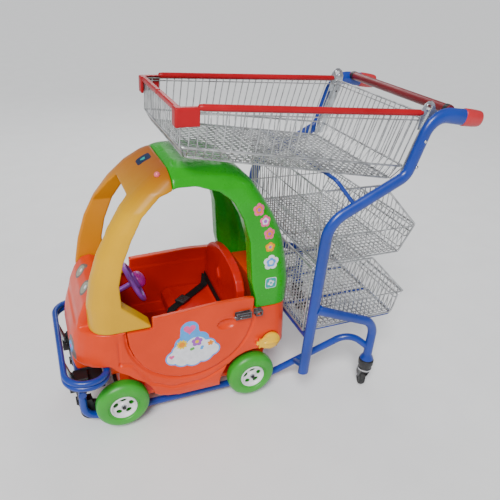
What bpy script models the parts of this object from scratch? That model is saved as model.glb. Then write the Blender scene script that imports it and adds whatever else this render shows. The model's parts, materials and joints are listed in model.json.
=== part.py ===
"""Supermarket trolley with a ride-on toy car at its front.

Metres, +Z up. The trolley faces -X, its left side is -Y, and the origin is on the
ground under the middle of its length. Every separate piece is one named object.
"""
import math

import bmesh
import bpy
from mathutils import Matrix, Vector

# ---- driving dimensions -------------------------------------------------------------------
GAP = 0.0003                    # air between two pieces that touch

# frame tubes
TUBE_Y = 0.2805                 # side tubes' centre planes
TUBE_R = 0.019                  # side tube, half height
TUBE_FLAT = 0.737               # side tube's width over its height
TUBE_FOOT_X, TUBE_FOOT_Z = 0.141, 0.148
TUBE_KNEE_X, TUBE_KNEE_Z = 0.156, 0.722
TUBE_ELBOW_X, TUBE_ELBOW_Z = 0.407, 0.851
TUBE_NECK_X, TUBE_NECK_Z = 0.459, 1.036
TUBE_END_X, TUBE_END_Z = 0.571, 1.0227
CAP_END_X, CAP_END_Z = 0.6404, 1.014
HANDLE_X, HANDLE_Z, HANDLE_R = 0.530, 1.041, 0.0145
LEG_R = 0.016
CASTER_X, CASTER_Y = 0.407, 0.280
RAIL_Y, RAIL_Z, RAIL_R = 0.137, 0.036, 0.0125
TRAY_BAR_X, TRAY_BAR_Z = 0.143, 0.299
TRAY_RUNNER_Y, RUNNER_R = 0.086, 0.0055
HOOP_R = 0.006

# front casters and bumper
FRONT_CASTER_X, FRONT_CASTER_Y = -0.585, 0.105
CROSSBAR_Z = 0.152
BUMPER_X, BUMPER_Y, BUMPER_R = -0.6315, 0.2265, 0.0096
BUMPER_LOW_Z, BUMPER_HIGH_Z = 0.2415, 0.2605
BUMPER_ARM_X, BUMPER_ARM_Y = -0.506, 0.150   # where the bars turn inwards, and their ends

# casters
CASTER_WHEEL_R, CASTER_WHEEL_W, CASTER_TRAIL = 0.038, 0.022, 0.028
CASTER_PIN_R = 0.004
CASTER_TOP_Z = 0.1395
CASTER_YAW = math.radians(65.5)  # both rear casters stand turned inwards

# toy car
AXLE_Z, WHEEL_R = 0.104, 0.086    # the toy wheels hang clear of the floor
FRONT_AXLE_X, REAR_AXLE_X = -0.465, -0.014
ARCH_FRONT_R, ARCH_REAR_R = 0.106, 0.118
WHEEL_Y, WHEEL_W = 0.1777, 0.054
HUB_R, JOURNAL_R = 0.0440, 0.006
BODY_TOP = 0.395                # where the pillars stand on the body
BODY_BOTTOM = 0.085
BELT_TOP = 0.440                # top of the doors
BODY_HALF_W = 0.195
DOOR_FRONT_X, DOOR_REAR_X, DOOR_LOW_Z, DOOR_WIDEST_Z = -0.440, -0.030, 0.176, 0.385
PILLAR_TOE_X = -0.366           # tip of the front pillar's gusset
DOOR_OUT_Y, DOOR_THICK = -0.1995, 0.016
DOOR_GAP = 0.0022
DOOR_HINGE_Z = 0.300
SEAM_X = -0.288                 # between the yellow front pillars and the green roof
WINDOW_HALF_W = 0.127           # windshield and rear window
STEER = Vector((-0.378, 0.0, 0.446))
STEER_AXIS = Vector((0.899, 0.0, 0.438)).normalized()
STEER_R = 0.066
BOLT_Y, BOLT_Z = -0.2068, 0.385
BELT_LAP_Z = 0.2995            # middle of the strap that lies over the cushion
CAP_X, CAP_Y, CAP_Z = 0.043, -0.1985, 0.253
CAP_R, CAP_HINGE_X, CAP_HINGE_Y = 0.033, -0.007, -0.2035

# baskets: every wall is a flat grille this thick, kept this far inside its own corners
GRILLE = 0.005
GRILLE_INSET = 0.004
TOP_FLOOR_FRONT, TOP_FLOOR_BACK = (-0.280, 0.931), (0.400, 0.826)
TOP_RIM_FRONT, TOP_RIM_BACK = (-0.276, 1.055), (0.459, 1.026)
TOP_HALF_FRONT, TOP_HALF_BACK = 0.203, 0.252
BRACKET_Y = (0.2592, 0.2640)    # the plates between the top basket and the side tubes
MIDDLE_FLOOR_Z, TRAY_FLOOR_Z = 0.572, 0.3165
MIDDLE_HALF, TRAY_HALF = 0.261, 0.259

COLOURS = {
    "blue": ((0.012, 0.085, 0.55), 0.25, 0.1),
    "zinc": ((0.55, 0.57, 0.58), 0.35, 1.0),
    "chrome": ((0.75, 0.75, 0.76), 0.15, 1.0),
    "red": ((0.62, 0.02, 0.035), 0.35, 0.0),
    "maroon": ((0.26, 0.02, 0.03), 0.35, 0.0),
    "orange": ((0.80, 0.09, 0.03), 0.35, 0.0),
    "deep_red": ((0.52, 0.01, 0.01), 0.4, 0.0),
    "yellow": ((0.85, 0.48, 0.01), 0.35, 0.0),
    "green": ((0.06, 0.50, 0.05), 0.3, 0.0),
    "tyre": ((0.12, 0.52, 0.09), 0.4, 0.0),
    "white": ((0.80, 0.80, 0.82), 0.3, 0.0),
    "lemon": ((0.85, 0.70, 0.03), 0.35, 0.0),
    "violet": ((0.42, 0.16, 0.60), 0.4, 0.0),
    "black": ((0.015, 0.015, 0.017), 0.5, 0.0),
}

for old in list(bpy.data.objects):
    bpy.data.objects.remove(old, do_unlink=True)
cart = bpy.data.collections.new("shopping_cart")
cutters = bpy.data.collections.new("cutters")
for collection in (cart, cutters):
    bpy.context.scene.collection.children.link(collection)


# ---- helpers ------------------------------------------------------------------------------
def material(name):
    """The shared material of that colour name."""
    found = bpy.data.materials.get(name)
    if found:
        return found
    colour, roughness, metallic = COLOURS[name]
    made = bpy.data.materials.new(name)
    made.use_nodes = True
    shader = made.node_tree.nodes["Principled BSDF"]
    shader.inputs["Base Color"].default_value = (*colour, 1.0)
    shader.inputs["Roughness"].default_value = roughness
    shader.inputs["Metallic"].default_value = metallic
    return made


def add(name, data, colour, place=None):
    """A new object of the trolley, or a cutter where colour is None."""
    piece = bpy.data.objects.new(name, data)
    if place is not None:
        piece.matrix_world = place
    if colour is None:
        cutters.objects.link(piece)
        piece.hide_render = True
        piece.display_type = "WIRE"
    else:
        cart.objects.link(piece)
        data.materials.append(material(colour))
    return piece


def mesh_from(bm, name):
    """A smooth-shaded mesh of the bmesh, with its faces pointing out."""
    bmesh.ops.recalc_face_normals(bm, faces=bm.faces)
    mesh = bpy.data.meshes.new(name)
    bm.to_mesh(mesh)
    bm.free()
    mesh.shade_smooth()
    mesh.set_sharp_from_angle(angle=math.radians(35))
    return mesh


def arc_corners(points, radii, steps=5):
    """The path through points, with each inner corner turned into an arc."""
    path = [Vector(points[0])]
    for before, corner, after, radius in zip(points, points[1:], points[2:], radii):
        corner = Vector(corner)
        back = (Vector(before) - corner).normalized()
        ahead = (Vector(after) - corner).normalized()
        half = back.angle(ahead) / 2
        reach = radius / math.tan(half)
        centre = corner + (back + ahead).normalized() * (radius / math.sin(half))
        start = (corner + back * reach - centre).normalized()
        end = (corner + ahead * reach - centre).normalized()
        for step in range(steps + 1):
            path.append(centre + start.slerp(end, step / steps) * radius)
    path.append(Vector(points[-1]))
    return path


def tube(name, path, radius, colour, flat=None, radii=None, resolution=3, closed=False):
    """A round bar or tube along the path; flat squeezes it along Y about its first point."""
    curve = bpy.data.curves.new(name, "CURVE")
    curve.dimensions = "3D"
    curve.bevel_depth = radius
    curve.bevel_resolution = resolution
    curve.resolution_u = 1
    curve.use_fill_caps = True
    spline = curve.splines.new("POLY")
    spline.points.add(len(path) - 1)
    spline.use_cyclic_u = closed
    spline.use_smooth = True
    base = Vector((0, path[0][1], 0)) if flat else Vector()
    for index, point in enumerate(path):
        spline.points[index].co = (*(Vector(point) - base), 1.0)
        if radii:
            spline.points[index].radius = radii[index]
    place = Matrix.Translation(base) @ Matrix.Diagonal((1, flat or 1, 1, 1))
    return add(name, curve, colour, place)


def as_mesh(piece):
    """The curve object remade as a mesh object with its caps welded on."""
    name = piece.name
    bpy.context.view_layer.update()
    seen = piece.evaluated_get(bpy.context.evaluated_depsgraph_get())
    mesh = bpy.data.meshes.new_from_object(seen)
    place = piece.matrix_world.copy()
    home = piece.users_collection[0]
    bpy.data.objects.remove(piece, do_unlink=True)
    bm = bmesh.new()
    bm.from_mesh(mesh)
    bmesh.ops.remove_doubles(bm, verts=bm.verts, dist=0.00001)
    bmesh.ops.recalc_face_normals(bm, faces=bm.faces)
    bm.to_mesh(mesh)
    bm.free()
    made = bpy.data.objects.new(name, mesh)
    made.matrix_world = place
    home.objects.link(made)
    if home == cutters:
        made.hide_render = True
        made.display_type = "WIRE"
    return made


def outline(name, rims, thickness, colour, place):
    """A flat plate in its own XY plane: the first rim is its edge, the others are holes."""
    curve = bpy.data.curves.new(name, "CURVE")
    curve.dimensions = "2D"
    curve.fill_mode = "BOTH"
    curve.extrude = thickness / 2
    curve.resolution_u = 1
    for rim in rims:
        spline = curve.splines.new("POLY")
        spline.points.add(len(rim) - 1)
        spline.use_cyclic_u = True
        for index, (x, y) in enumerate(rim):
            spline.points[index].co = (x, y, 0.0, 1.0)
    return add(name, curve, colour, place)


def side_outline(name, rim, y_low, y_high, colour):
    """A side view, drawn as (x, z) points, made solid between two values of Y."""
    turn = Matrix.Translation((0, (y_low + y_high) / 2, 0)) @ Matrix.Rotation(math.pi / 2, 4, "X")
    return as_mesh(outline(name, [rim], y_high - y_low, colour, turn))


def box(name, low, high, colour=None):
    """An axis-aligned block between two corners."""
    low, high = Vector(low), Vector(high)
    bm = bmesh.new()
    bmesh.ops.create_cube(bm, size=1.0)
    bmesh.ops.scale(bm, vec=high - low, verts=bm.verts)
    bmesh.ops.translate(bm, vec=(low + high) / 2, verts=bm.verts)
    return add(name, mesh_from(bm, name), colour)


def cylinder(name, start, end, radius, colour=None, sides=16, end_radius=None):
    """A round bar between two points."""
    start, end = Vector(start), Vector(end)
    bm = bmesh.new()
    far = radius if end_radius is None else end_radius
    bmesh.ops.create_cone(bm, cap_ends=True, segments=sides, radius1=radius, radius2=far,
                          depth=(end - start).length)
    turn = (end - start).to_track_quat("Z", "Y").to_matrix().to_4x4()
    bmesh.ops.transform(bm, matrix=Matrix.Translation((start + end) / 2) @ turn, verts=bm.verts)
    return add(name, mesh_from(bm, name), colour)


def loft(name, rings, colour=None):
    """A closed skin over rings that all have the same number of points."""
    bm = bmesh.new()
    rows = [[bm.verts.new(point) for point in ring] for ring in rings]
    count = len(rings[0])
    for low, high in zip(rows, rows[1:]):
        for i in range(count):
            j = (i + 1) % count
            bm.faces.new((low[i], low[j], high[j], high[i]))
    bm.faces.new(list(reversed(rows[0])))
    bm.faces.new(rows[-1])
    return add(name, mesh_from(bm, name), colour)


def turned(name, profile, place, colour, steps=20):
    """A turned piece: the profile is (radius, height) from top to bottom round local Z."""
    mesh = bpy.data.meshes.new(name)
    closed = profile[0][0] > 0
    count = len(profile)
    edges = [(i, (i + 1) % count) for i in range(count if closed else count - 1)]
    mesh.from_pydata([(radius, 0, height) for radius, height in profile], edges, [])
    piece = add(name, mesh, colour, place)
    screw = piece.modifiers.new("turn", "SCREW")
    screw.steps = screw.render_steps = steps
    screw.use_merge_vertices = True
    screw.merge_threshold = 0.00001
    screw.use_smooth_shade = True
    return piece


def boolean(piece, tool, how):
    """Cut the tool from the piece, or join it on, and keep the tool as a guide."""
    if tool.name not in cutters.objects:
        cutters.objects.link(tool)
        cart.objects.unlink(tool)
    tool.hide_render = True
    tool.display_type = "WIRE"
    step = piece.modifiers.new(tool.name, "BOOLEAN")
    step.operation = how
    step.object = tool
    step.solver = "EXACT"


def cut(piece, *tools):
    for tool in tools:
        boolean(piece, tool, "DIFFERENCE")


def join(piece, *tools):
    for tool in tools:
        boolean(piece, tool, "UNION")


def rounded_ring(front, rear, half_width, front_r, rear_r, z, steps=6):
    """A rounded rectangle at height z, as points in order round it."""
    ring = []
    corners = ((rear - rear_r, half_width - rear_r, rear_r, 0),
               (front + front_r, half_width - front_r, front_r, 90),
               (front + front_r, front_r - half_width, front_r, 180),
               (rear - rear_r, rear_r - half_width, rear_r, 270))
    for x, y, radius, first in corners:
        for step in range(steps + 1):
            angle = math.radians(first + 90 * step / steps)
            ring.append((x + radius * math.cos(angle), y + radius * math.sin(angle), z))
    return ring


def pivot(name, place, *pieces):
    """An empty on a joint's axis, with the pieces that turn or slide about it under it."""
    empty = bpy.data.objects.new(name, None)
    empty.location = place
    empty.empty_display_size = 0.03
    cart.objects.link(empty)
    for piece in pieces:
        piece.parent = empty
        piece.matrix_parent_inverse = Matrix.Translation(-Vector(place))


SIDES = (("left", -1), ("right", 1))


# ---- frame --------------------------------------------------------------------------------
def side_tube_path(y):
    corners = [(TUBE_FOOT_X, y, TUBE_FOOT_Z), (TUBE_KNEE_X, y, TUBE_KNEE_Z),
               (TUBE_ELBOW_X, y, TUBE_ELBOW_Z), (TUBE_NECK_X, y, TUBE_NECK_Z),
               (TUBE_END_X, y, TUBE_END_Z)]
    return arc_corners(corners, (0.093, 0.05, 0.07))


def tube_swell(path):
    """How much wider than TUBE_R the side tube is at each point: it grows towards the handle."""
    return [1 + 0.29 * min(1, max(0, (p.x - 0.44) / 0.1)) for p in path]


def make_side_tube(side, sign):
    """The oval main tube, which swells towards the handle."""
    path = side_tube_path(sign * TUBE_Y)
    swell = tube_swell(path)
    tube(f"side_tube_{side}", path, TUBE_R, "blue", flat=TUBE_FLAT, radii=swell)
    end = Vector((TUBE_END_X, sign * TUBE_Y, TUBE_END_Z))
    tip = Vector((CAP_END_X, sign * TUBE_Y, CAP_END_Z))
    along = (tip - end).normalized()
    steps = (0, 0.25, 0.6, 0.88, 1)
    points = [end + along * GAP + (tip - end - along * GAP) * step for step in steps]
    tube(f"handle_cap_{side}", points, TUBE_R, "red", flat=TUBE_FLAT,
         radii=[1.38, 1.40, 1.38, 1.28, 1.05])


def make_caster_leg(side, sign):
    """The tube from the side tube down to the rear caster, coped round the side tube."""
    y = sign * CASTER_Y
    bend = arc_corners([(0.150, y, 0.4105), (CASTER_X, y, 0.301), (CASTER_X, y, CASTER_TOP_Z + GAP)],
                       (0.077,), steps=6)
    leg = as_mesh(tube(f"caster_leg_{side}", bend, LEG_R, "blue"))
    cope = as_mesh(tube(f"leg_cope_{side}", side_tube_path(sign * TUBE_Y), TUBE_R + GAP, None,
                        flat=TUBE_FLAT))
    cut(leg, cope)


def make_base_rail(side, sign):
    """The low rail, which kicks up and out to the caster leg, with a stub to the side tube."""
    corners = [(FRONT_CASTER_X, RAIL_Y, CROSSBAR_Z - 0.0127), (FRONT_CASTER_X, RAIL_Y, RAIL_Z),
               (0.085, RAIL_Y, RAIL_Z), (0.335, 0.243, 0.245), (CASTER_X + 0.004, 0.2765, 0.184)]
    path = arc_corners(corners, (0.05, 0.10, 0.07), steps=4)
    rail = as_mesh(tube(f"base_rail_{side}", [(x, sign * y, z) for x, y, z in path], RAIL_R, "blue"))
    stub = cylinder(f"rail_stub_{side}", (0.168, sign * 0.172, 0.105), (0.1435, sign * 0.2795, 0.171),
                    0.011, sides=12)
    join(rail, stub)
    leg = cylinder(f"rail_cope_{side}", (CASTER_X, sign * CASTER_Y, 0.1), (CASTER_X, sign * CASTER_Y, 0.3),
                   LEG_R + GAP)
    cope = as_mesh(tube(f"stub_cope_{side}", side_tube_path(sign * TUBE_Y), TUBE_R + GAP, None,
                        flat=TUBE_FLAT))
    cut(rail, leg, cope)


def fork(name, colour, collar_r, crown_top):
    """A caster's fork round its stem's axis, trailing along +X: collar, crown, cheeks and pin."""
    half = CASTER_WHEEL_W / 2
    crown_low = 2 * CASTER_WHEEL_R + 0.006
    collar = cylinder(name, (0, 0, crown_low + 0.008), (0, 0, crown_top), collar_r, colour, sides=20)
    crown = box(name + "_crown", (-0.020, -half - 0.005, crown_low),
                (0.030, half + 0.005, crown_low + 0.012))
    join(collar, crown)
    cheek = [(-0.019, crown_low + 0.010), (0.029, crown_low + 0.010), (0.041, 0.045),
             (0.038, 0.028), (0.022, 0.026), (-0.006, 0.060)]
    for number, sign in enumerate((-1, 1)):
        low, high = sorted((sign * (half + 0.0015), sign * (half + 0.0044)))
        join(collar, side_outline(f"{name}_cheek_{number}", cheek, low, high, None))
    pin = cylinder(name + "_pin", (CASTER_TRAIL, -half - 0.008, CASTER_WHEEL_R),
                   (CASTER_TRAIL, half + 0.008, CASTER_WHEEL_R), CASTER_PIN_R, sides=12)
    join(collar, pin)
    return collar


def caster_wheel(name, place):
    """A small black wheel turned round its own axle."""
    half, bore, r = CASTER_WHEEL_W / 2, CASTER_PIN_R + 0.0002, CASTER_WHEEL_R
    profile = [(bore, half), (r - 0.005, half), (r, half - 0.006), (r, 0.006 - half), (r - 0.005, -half),
               (bore, -half)]
    return turned(name, profile, place @ Matrix.Rotation(math.pi / 2, 4, "X"), "black", steps=24)


def make_rear_caster(side, sign):
    place = Matrix.Translation((CASTER_X, sign * CASTER_Y, 0)) @ Matrix.Rotation(-sign * CASTER_YAW, 4, "Z")
    piece = fork(f"caster_fork_{side}", "black", 0.0275, CASTER_TOP_Z)
    parts = [piece] + [step.object for step in piece.modifiers]
    for part in parts:
        part.matrix_world = place @ part.matrix_world
    caster_wheel(f"caster_wheel_{side}", place @ Matrix.Translation((CASTER_TRAIL, 0, CASTER_WHEEL_R)))


def make_front_end():
    """The front cross tube with its two fixed casters, and the double bumper bar."""
    bar = cylinder("front_crossbar", (FRONT_CASTER_X, -0.158, CROSSBAR_Z),
                   (FRONT_CASTER_X, 0.158, CROSSBAR_Z), RAIL_R, "blue")
    for side, sign in SIDES:
        place = Matrix.Translation((FRONT_CASTER_X, sign * FRONT_CASTER_Y, 0))
        piece = fork(f"front_fork_{side}", None, 0.0175, CROSSBAR_Z - 0.006)
        for part in [piece] + [step.object for step in piece.modifiers]:
            part.matrix_world = place @ part.matrix_world
        join(bar, piece)
        caster_wheel(f"front_caster_wheel_{side}",
                     place @ Matrix.Translation((CASTER_TRAIL, 0, CASTER_WHEEL_R)))
    bars = []
    for name, z in (("front_bumper", BUMPER_LOW_Z), ("bumper_high", BUMPER_HIGH_Z)):
        corners = [(x, y, z) for x, y in ((BUMPER_ARM_X, -BUMPER_ARM_Y), (BUMPER_ARM_X, -BUMPER_Y),
                                          (BUMPER_X, -BUMPER_Y), (BUMPER_X, BUMPER_Y),
                                          (BUMPER_ARM_X, BUMPER_Y), (BUMPER_ARM_X, BUMPER_ARM_Y))]
        colour = "blue" if name == "front_bumper" else None
        bars.append(as_mesh(tube(name, arc_corners(corners, (0.055, 0.065, 0.065, 0.055), 4), BUMPER_R,
                                 colour)))
    join(bars[0], bars[1])
    for side, sign in SIDES:
        y = sign * FRONT_CASTER_Y
        post = cylinder(f"bumper_post_{side}", (BUMPER_X, y, BUMPER_HIGH_Z),
                        (BUMPER_X + 0.030, y, CROSSBAR_Z + 0.004), 0.008, sides=10)
        y = sign * (BUMPER_ARM_Y + 0.005)
        spacer = box(f"bumper_spacer_{side}", (BUMPER_ARM_X - 0.004, y - 0.004, BUMPER_LOW_Z),
                     (BUMPER_ARM_X + 0.004, y + 0.004, BUMPER_HIGH_Z))
        join(bars[0], post, spacer)
    cope = cylinder("bumper_cope", (FRONT_CASTER_X, -0.17, CROSSBAR_Z), (FRONT_CASTER_X, 0.17, CROSSBAR_Z),
                    RAIL_R + GAP)
    cut(bars[0], cope)


def make_tray_frame():
    """The cross tube between the side tubes, with the bent bar and two runners under the tray."""
    inner = TUBE_Y - TUBE_R * TUBE_FLAT - GAP
    ends = [(TRAY_BAR_X, -inner, TRAY_BAR_Z), (TRAY_BAR_X, inner, TRAY_BAR_Z)]
    crossbar = as_mesh(tube("tray_frame", ends, RAIL_R, "blue"))
    start, back, z = TRAY_BAR_X, 0.4955, TRAY_FLOOR_Z - GRILLE / 2 - RUNNER_R - GAP
    bend = arc_corners([(start, -0.2525, z), (back, -0.2525, z), (back, 0.2525, z), (start, 0.2525, z)],
                       (0.02, 0.02))
    join(crossbar, as_mesh(tube("tray_bent_bar", bend, RUNNER_R, None, resolution=2)))
    for side, sign in SIDES:
        y = sign * TRAY_RUNNER_Y
        join(crossbar, cylinder(f"tray_runner_{side}", (start, y, z), (back, y, z), RUNNER_R - 0.0005,
                                sides=8))


def make_frame():
    for side, sign in SIDES:
        make_side_tube(side, sign)
        make_caster_leg(side, sign)
        make_base_rail(side, sign)
        make_rear_caster(side, sign)
    make_front_end()
    make_tray_frame()
    handle = as_mesh(tube("handle_bar", [(HANDLE_X, -0.272, HANDLE_Z), (HANDLE_X, 0.272, HANDLE_Z)],
                          HANDLE_R, "maroon"))
    foot, top = (0.240, 0.2795, 0.770), (0.172, 0.262, 0.851)
    hoop_path = arc_corners([(foot[0], -foot[1], foot[2]), (top[0], -top[1], top[2]), top, foot],
                            (0.02, 0.02))
    hoop = as_mesh(tube("basket_support_hoop", hoop_path, HOOP_R, "blue", resolution=2))
    for side, sign in SIDES:
        path = side_tube_path(sign * TUBE_Y)
        cope = as_mesh(tube(f"handle_cope_{side}", path, TUBE_R + GAP, None, flat=TUBE_FLAT,
                            radii=tube_swell(path)))
        cut(handle, cope)
        cut(hoop, cope)


# ---- baskets ------------------------------------------------------------------------------
def clip(polygon, point, normal):
    """The part of a convex 2D polygon on the side of the line that normal points to."""
    kept = []
    for here, ahead in zip(polygon, polygon[1:] + polygon[:1]):
        near = (Vector(here) - point).dot(normal)
        far = (Vector(ahead) - point).dot(normal)
        if near >= 0:
            kept.append(Vector(here))
        if near * far < 0:
            kept.append(Vector(here).lerp(Vector(ahead), near / (near - far)))
    return kept


def inset(polygon, distance):
    """A convex polygon, given counterclockwise, moved in from every edge."""
    result = [Vector(p) for p in polygon]
    for here, ahead in zip(polygon, polygon[1:] + polygon[:1]):
        edge = (Vector(ahead) - Vector(here)).normalized()
        normal = Vector((-edge.y, edge.x))
        result = clip(result, Vector(here) + normal * distance, normal)
    return result


def grille(name, corners, slots, rim=0.010, bars=1, bar=0.008):
    """A flat wire wall: its corners in order, first edge along its foot, and slots across it."""
    corners = [Vector(c) for c in corners]
    along = (corners[1] - corners[0]).normalized()
    normal = along.cross(corners[-1] - corners[0]).normalized()
    up = normal.cross(along)
    flat = [Vector(((c - corners[0]).dot(along), (c - corners[0]).dot(up))) for c in corners]
    edge = inset(flat, GRILLE_INSET)
    inner = inset(flat, GRILLE_INSET + rim)
    left, right = min(p.x for p in inner), max(p.x for p in inner)
    low, high = min(p.y for p in inner), max(p.y for p in inner)
    rims = [edge]
    pitch = (right - left + bar) / slots
    rise = (high - low + bar) / bars
    for column in range(slots):
        start = left + column * pitch
        for row in range(bars):
            foot = low + row * rise
            hole = clip(inner, Vector((start, 0)), Vector((1, 0)))
            hole = clip(hole, Vector((start + pitch - bar, 0)), Vector((-1, 0)))
            hole = clip(hole, Vector((0, foot)), Vector((0, 1)))
            hole = clip(hole, Vector((0, foot + rise - bar)), Vector((0, -1)))
            if len(hole) > 2:
                rims.append(hole)
    place = Matrix((along, up, normal)).transposed().to_4x4()
    place.translation = corners[0]
    return outline(name, [[(p.x, p.y) for p in r] for r in rims], GRILLE, "zinc", place)


def make_basket(name, floor, side, half_front, half_back, slots):
    """A basket from its floor line and its side wall's outline, both as (x, z) points.

    The side outline starts with the floor's front and back, goes up the back, and ends at
    the front's top. The half widths are the inner ones at the floor's front and back."""
    def at(point, sign):
        share = (point[0] - floor[0][0]) / (floor[1][0] - floor[0][0])
        return (point[0], sign * (half_front + (half_back - half_front) * share), point[1])
    grille(f"{name}_floor", [at(floor[0], -1), at(floor[1], -1), at(floor[1], 1), at(floor[0], 1)],
           slots[0], bars=2)
    grille(f"{name}_left", [at(p, -1) for p in side], slots[1])
    grille(f"{name}_right", [at(p, 1) for p in side], slots[1])
    grille(f"{name}_front", [at(floor[0], 1), at(floor[0], -1), at(side[-1], -1), at(side[-1], 1)], slots[2])
    back = side[2]
    grille(f"{name}_back", [at(floor[1], -1), at(floor[1], 1), at(back, 1), at(back, -1)], slots[2])


def make_baskets():
    floor = [TOP_FLOOR_FRONT, TOP_FLOOR_BACK]
    make_basket("top_basket", floor, floor + [TOP_RIM_BACK, TOP_RIM_FRONT],
                TOP_HALF_FRONT, TOP_HALF_BACK, (9, 10, 6))
    floor = [(0.146, MIDDLE_FLOOR_Z), (0.4565, MIDDLE_FLOOR_Z)]
    make_basket("middle_basket", floor, floor + [(0.4914, 0.642), (0.503, 0.667), (0.347, 0.8185),
                                                 (0.131, 0.8185)], MIDDLE_HALF, MIDDLE_HALF, (5, 5, 7))
    floor = [(0.130, TRAY_FLOOR_Z), (0.4874, TRAY_FLOOR_Z)]
    make_basket("tray_basket", floor, floor + [(0.5035, 0.388), (0.522, 0.400), (0.360, 0.560),
                                               (0.133, 0.560)], TRAY_HALF, TRAY_HALF, (5, 5, 7))


def basket_half(x):
    """The top basket's inner half width at X."""
    share = (x - TOP_FLOOR_FRONT[0]) / (TOP_FLOOR_BACK[0] - TOP_FLOOR_FRONT[0])
    return TOP_HALF_FRONT + (TOP_HALF_BACK - TOP_HALF_FRONT) * share


def make_corner_guard(side, sign):
    """The wrap round a front corner, with half of the strip along the front rim."""
    def block(name, x_low, x_high, y_near, y_far, z_low, z_high, colour=None):
        y_low, y_high = sorted((sign * y_near, sign * y_far))
        return box(f"{name}_{side}", (x_low, y_low, z_low), (x_high, y_high, z_high), colour)
    front, back = -0.2935, -0.225
    outer = basket_half(TOP_RIM_FRONT[0]) + 0.0115
    leg = outer - 0.036
    guard = block("corner_guard", front, back, GAP, outer, 1.011, 1.0625, "red")
    cut(guard, block("guard_inside", -0.2725, 0, -0.01, 0.1935, 0.99, 1.08))
    cut(guard, block("guard_rim_room", -0.2832, 0, -0.01, 0.2115, 0.99, 1.0585))
    cut(guard, block("guard_front_thin", -0.31, front + 0.005, -0.01, leg, 0.99, 1.08))
    cut(guard, block("guard_front_low", -0.31, -0.27, -0.01, leg, 0.99, 1.0455))


def make_basket_trim():
    """Red rail covers, corner guards and the zinc brackets of the top basket."""
    slope = (TOP_RIM_BACK[1] - TOP_RIM_FRONT[1]) / (TOP_RIM_BACK[0] - TOP_RIM_FRONT[0])
    for side, sign in SIDES:
        ends = [(x, sign * basket_half(x), TOP_RIM_FRONT[1] + slope * (x - TOP_RIM_FRONT[0]) + 0.0075)
                for x in (-0.214, 0.440)]
        tube(f"rim_cover_{side}", ends, 0.0095, "red", resolution=2)
        make_corner_guard(side, sign)
        y_low, y_high = sorted(sign * y for y in BRACKET_Y)
        corners = [(0.390, 0.829), (0.424, 0.829), (0.460, 0.942), (0.480, 1.003), (0.484, 1.042),
                   (0.462, 1.046), (0.444, 1.003), (0.423, 0.943)]
        side_outline(f"basket_bracket_{side}", corners, y_low, y_high, "zinc")


# ---- toy car ------------------------------------------------------------------------------
# (z, front x, rear x, half width, front corner radius, rear corner radius) from the bottom up
BODY_LEVELS = ((BODY_BOTTOM, -0.520, 0.060, 0.183, 0.07, 0.04),
               (0.110, -0.545, 0.085, 0.189, 0.08, 0.05),
               (0.160, -0.577, 0.100, 0.1935, 0.09, 0.05),
               (0.237, -0.597, 0.106, BODY_HALF_W, 0.10, 0.04),
               (0.307, -0.602, 0.102, BODY_HALF_W, 0.11, 0.04),
               (0.357, -0.594, 0.100, BODY_HALF_W, 0.11, 0.045),
               (BODY_TOP, -0.582, 0.099, BODY_HALF_W, 0.11, 0.05))


def door_foot(grow):
    """The half-oval foot of the door, from its front edge round to its rear, as (x, z) points."""
    centre = (DOOR_FRONT_X + DOOR_REAR_X) / 2
    half = (DOOR_REAR_X - DOOR_FRONT_X) / 2 + grow
    drop = DOOR_WIDEST_Z - DOOR_LOW_Z + grow
    angles = [math.pi * (1 + step / 14) for step in range(15)]
    return [(centre + half * math.cos(a), DOOR_WIDEST_Z + drop * math.sin(a)) for a in angles]


def doorway_rim(grow):
    """The hole for the door, open at its top."""
    foot = door_foot(grow)
    return foot + [(foot[-1][0], 0.50), (foot[0][0], 0.50)]


def door_rim():
    """The door's own outline, with a notch under the front pillar's gusset."""
    top = [(DOOR_REAR_X, BELT_TOP), (DOOR_REAR_X - 0.027, BELT_TOP + 0.004), (-0.150, BELT_TOP + 0.004),
           (PILLAR_TOE_X + 0.003, BELT_TOP - 0.010), (PILLAR_TOE_X + 0.003, BODY_TOP - 0.0025),
           (DOOR_FRONT_X, BODY_TOP - 0.0025)]
    return door_foot(0) + top


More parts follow.
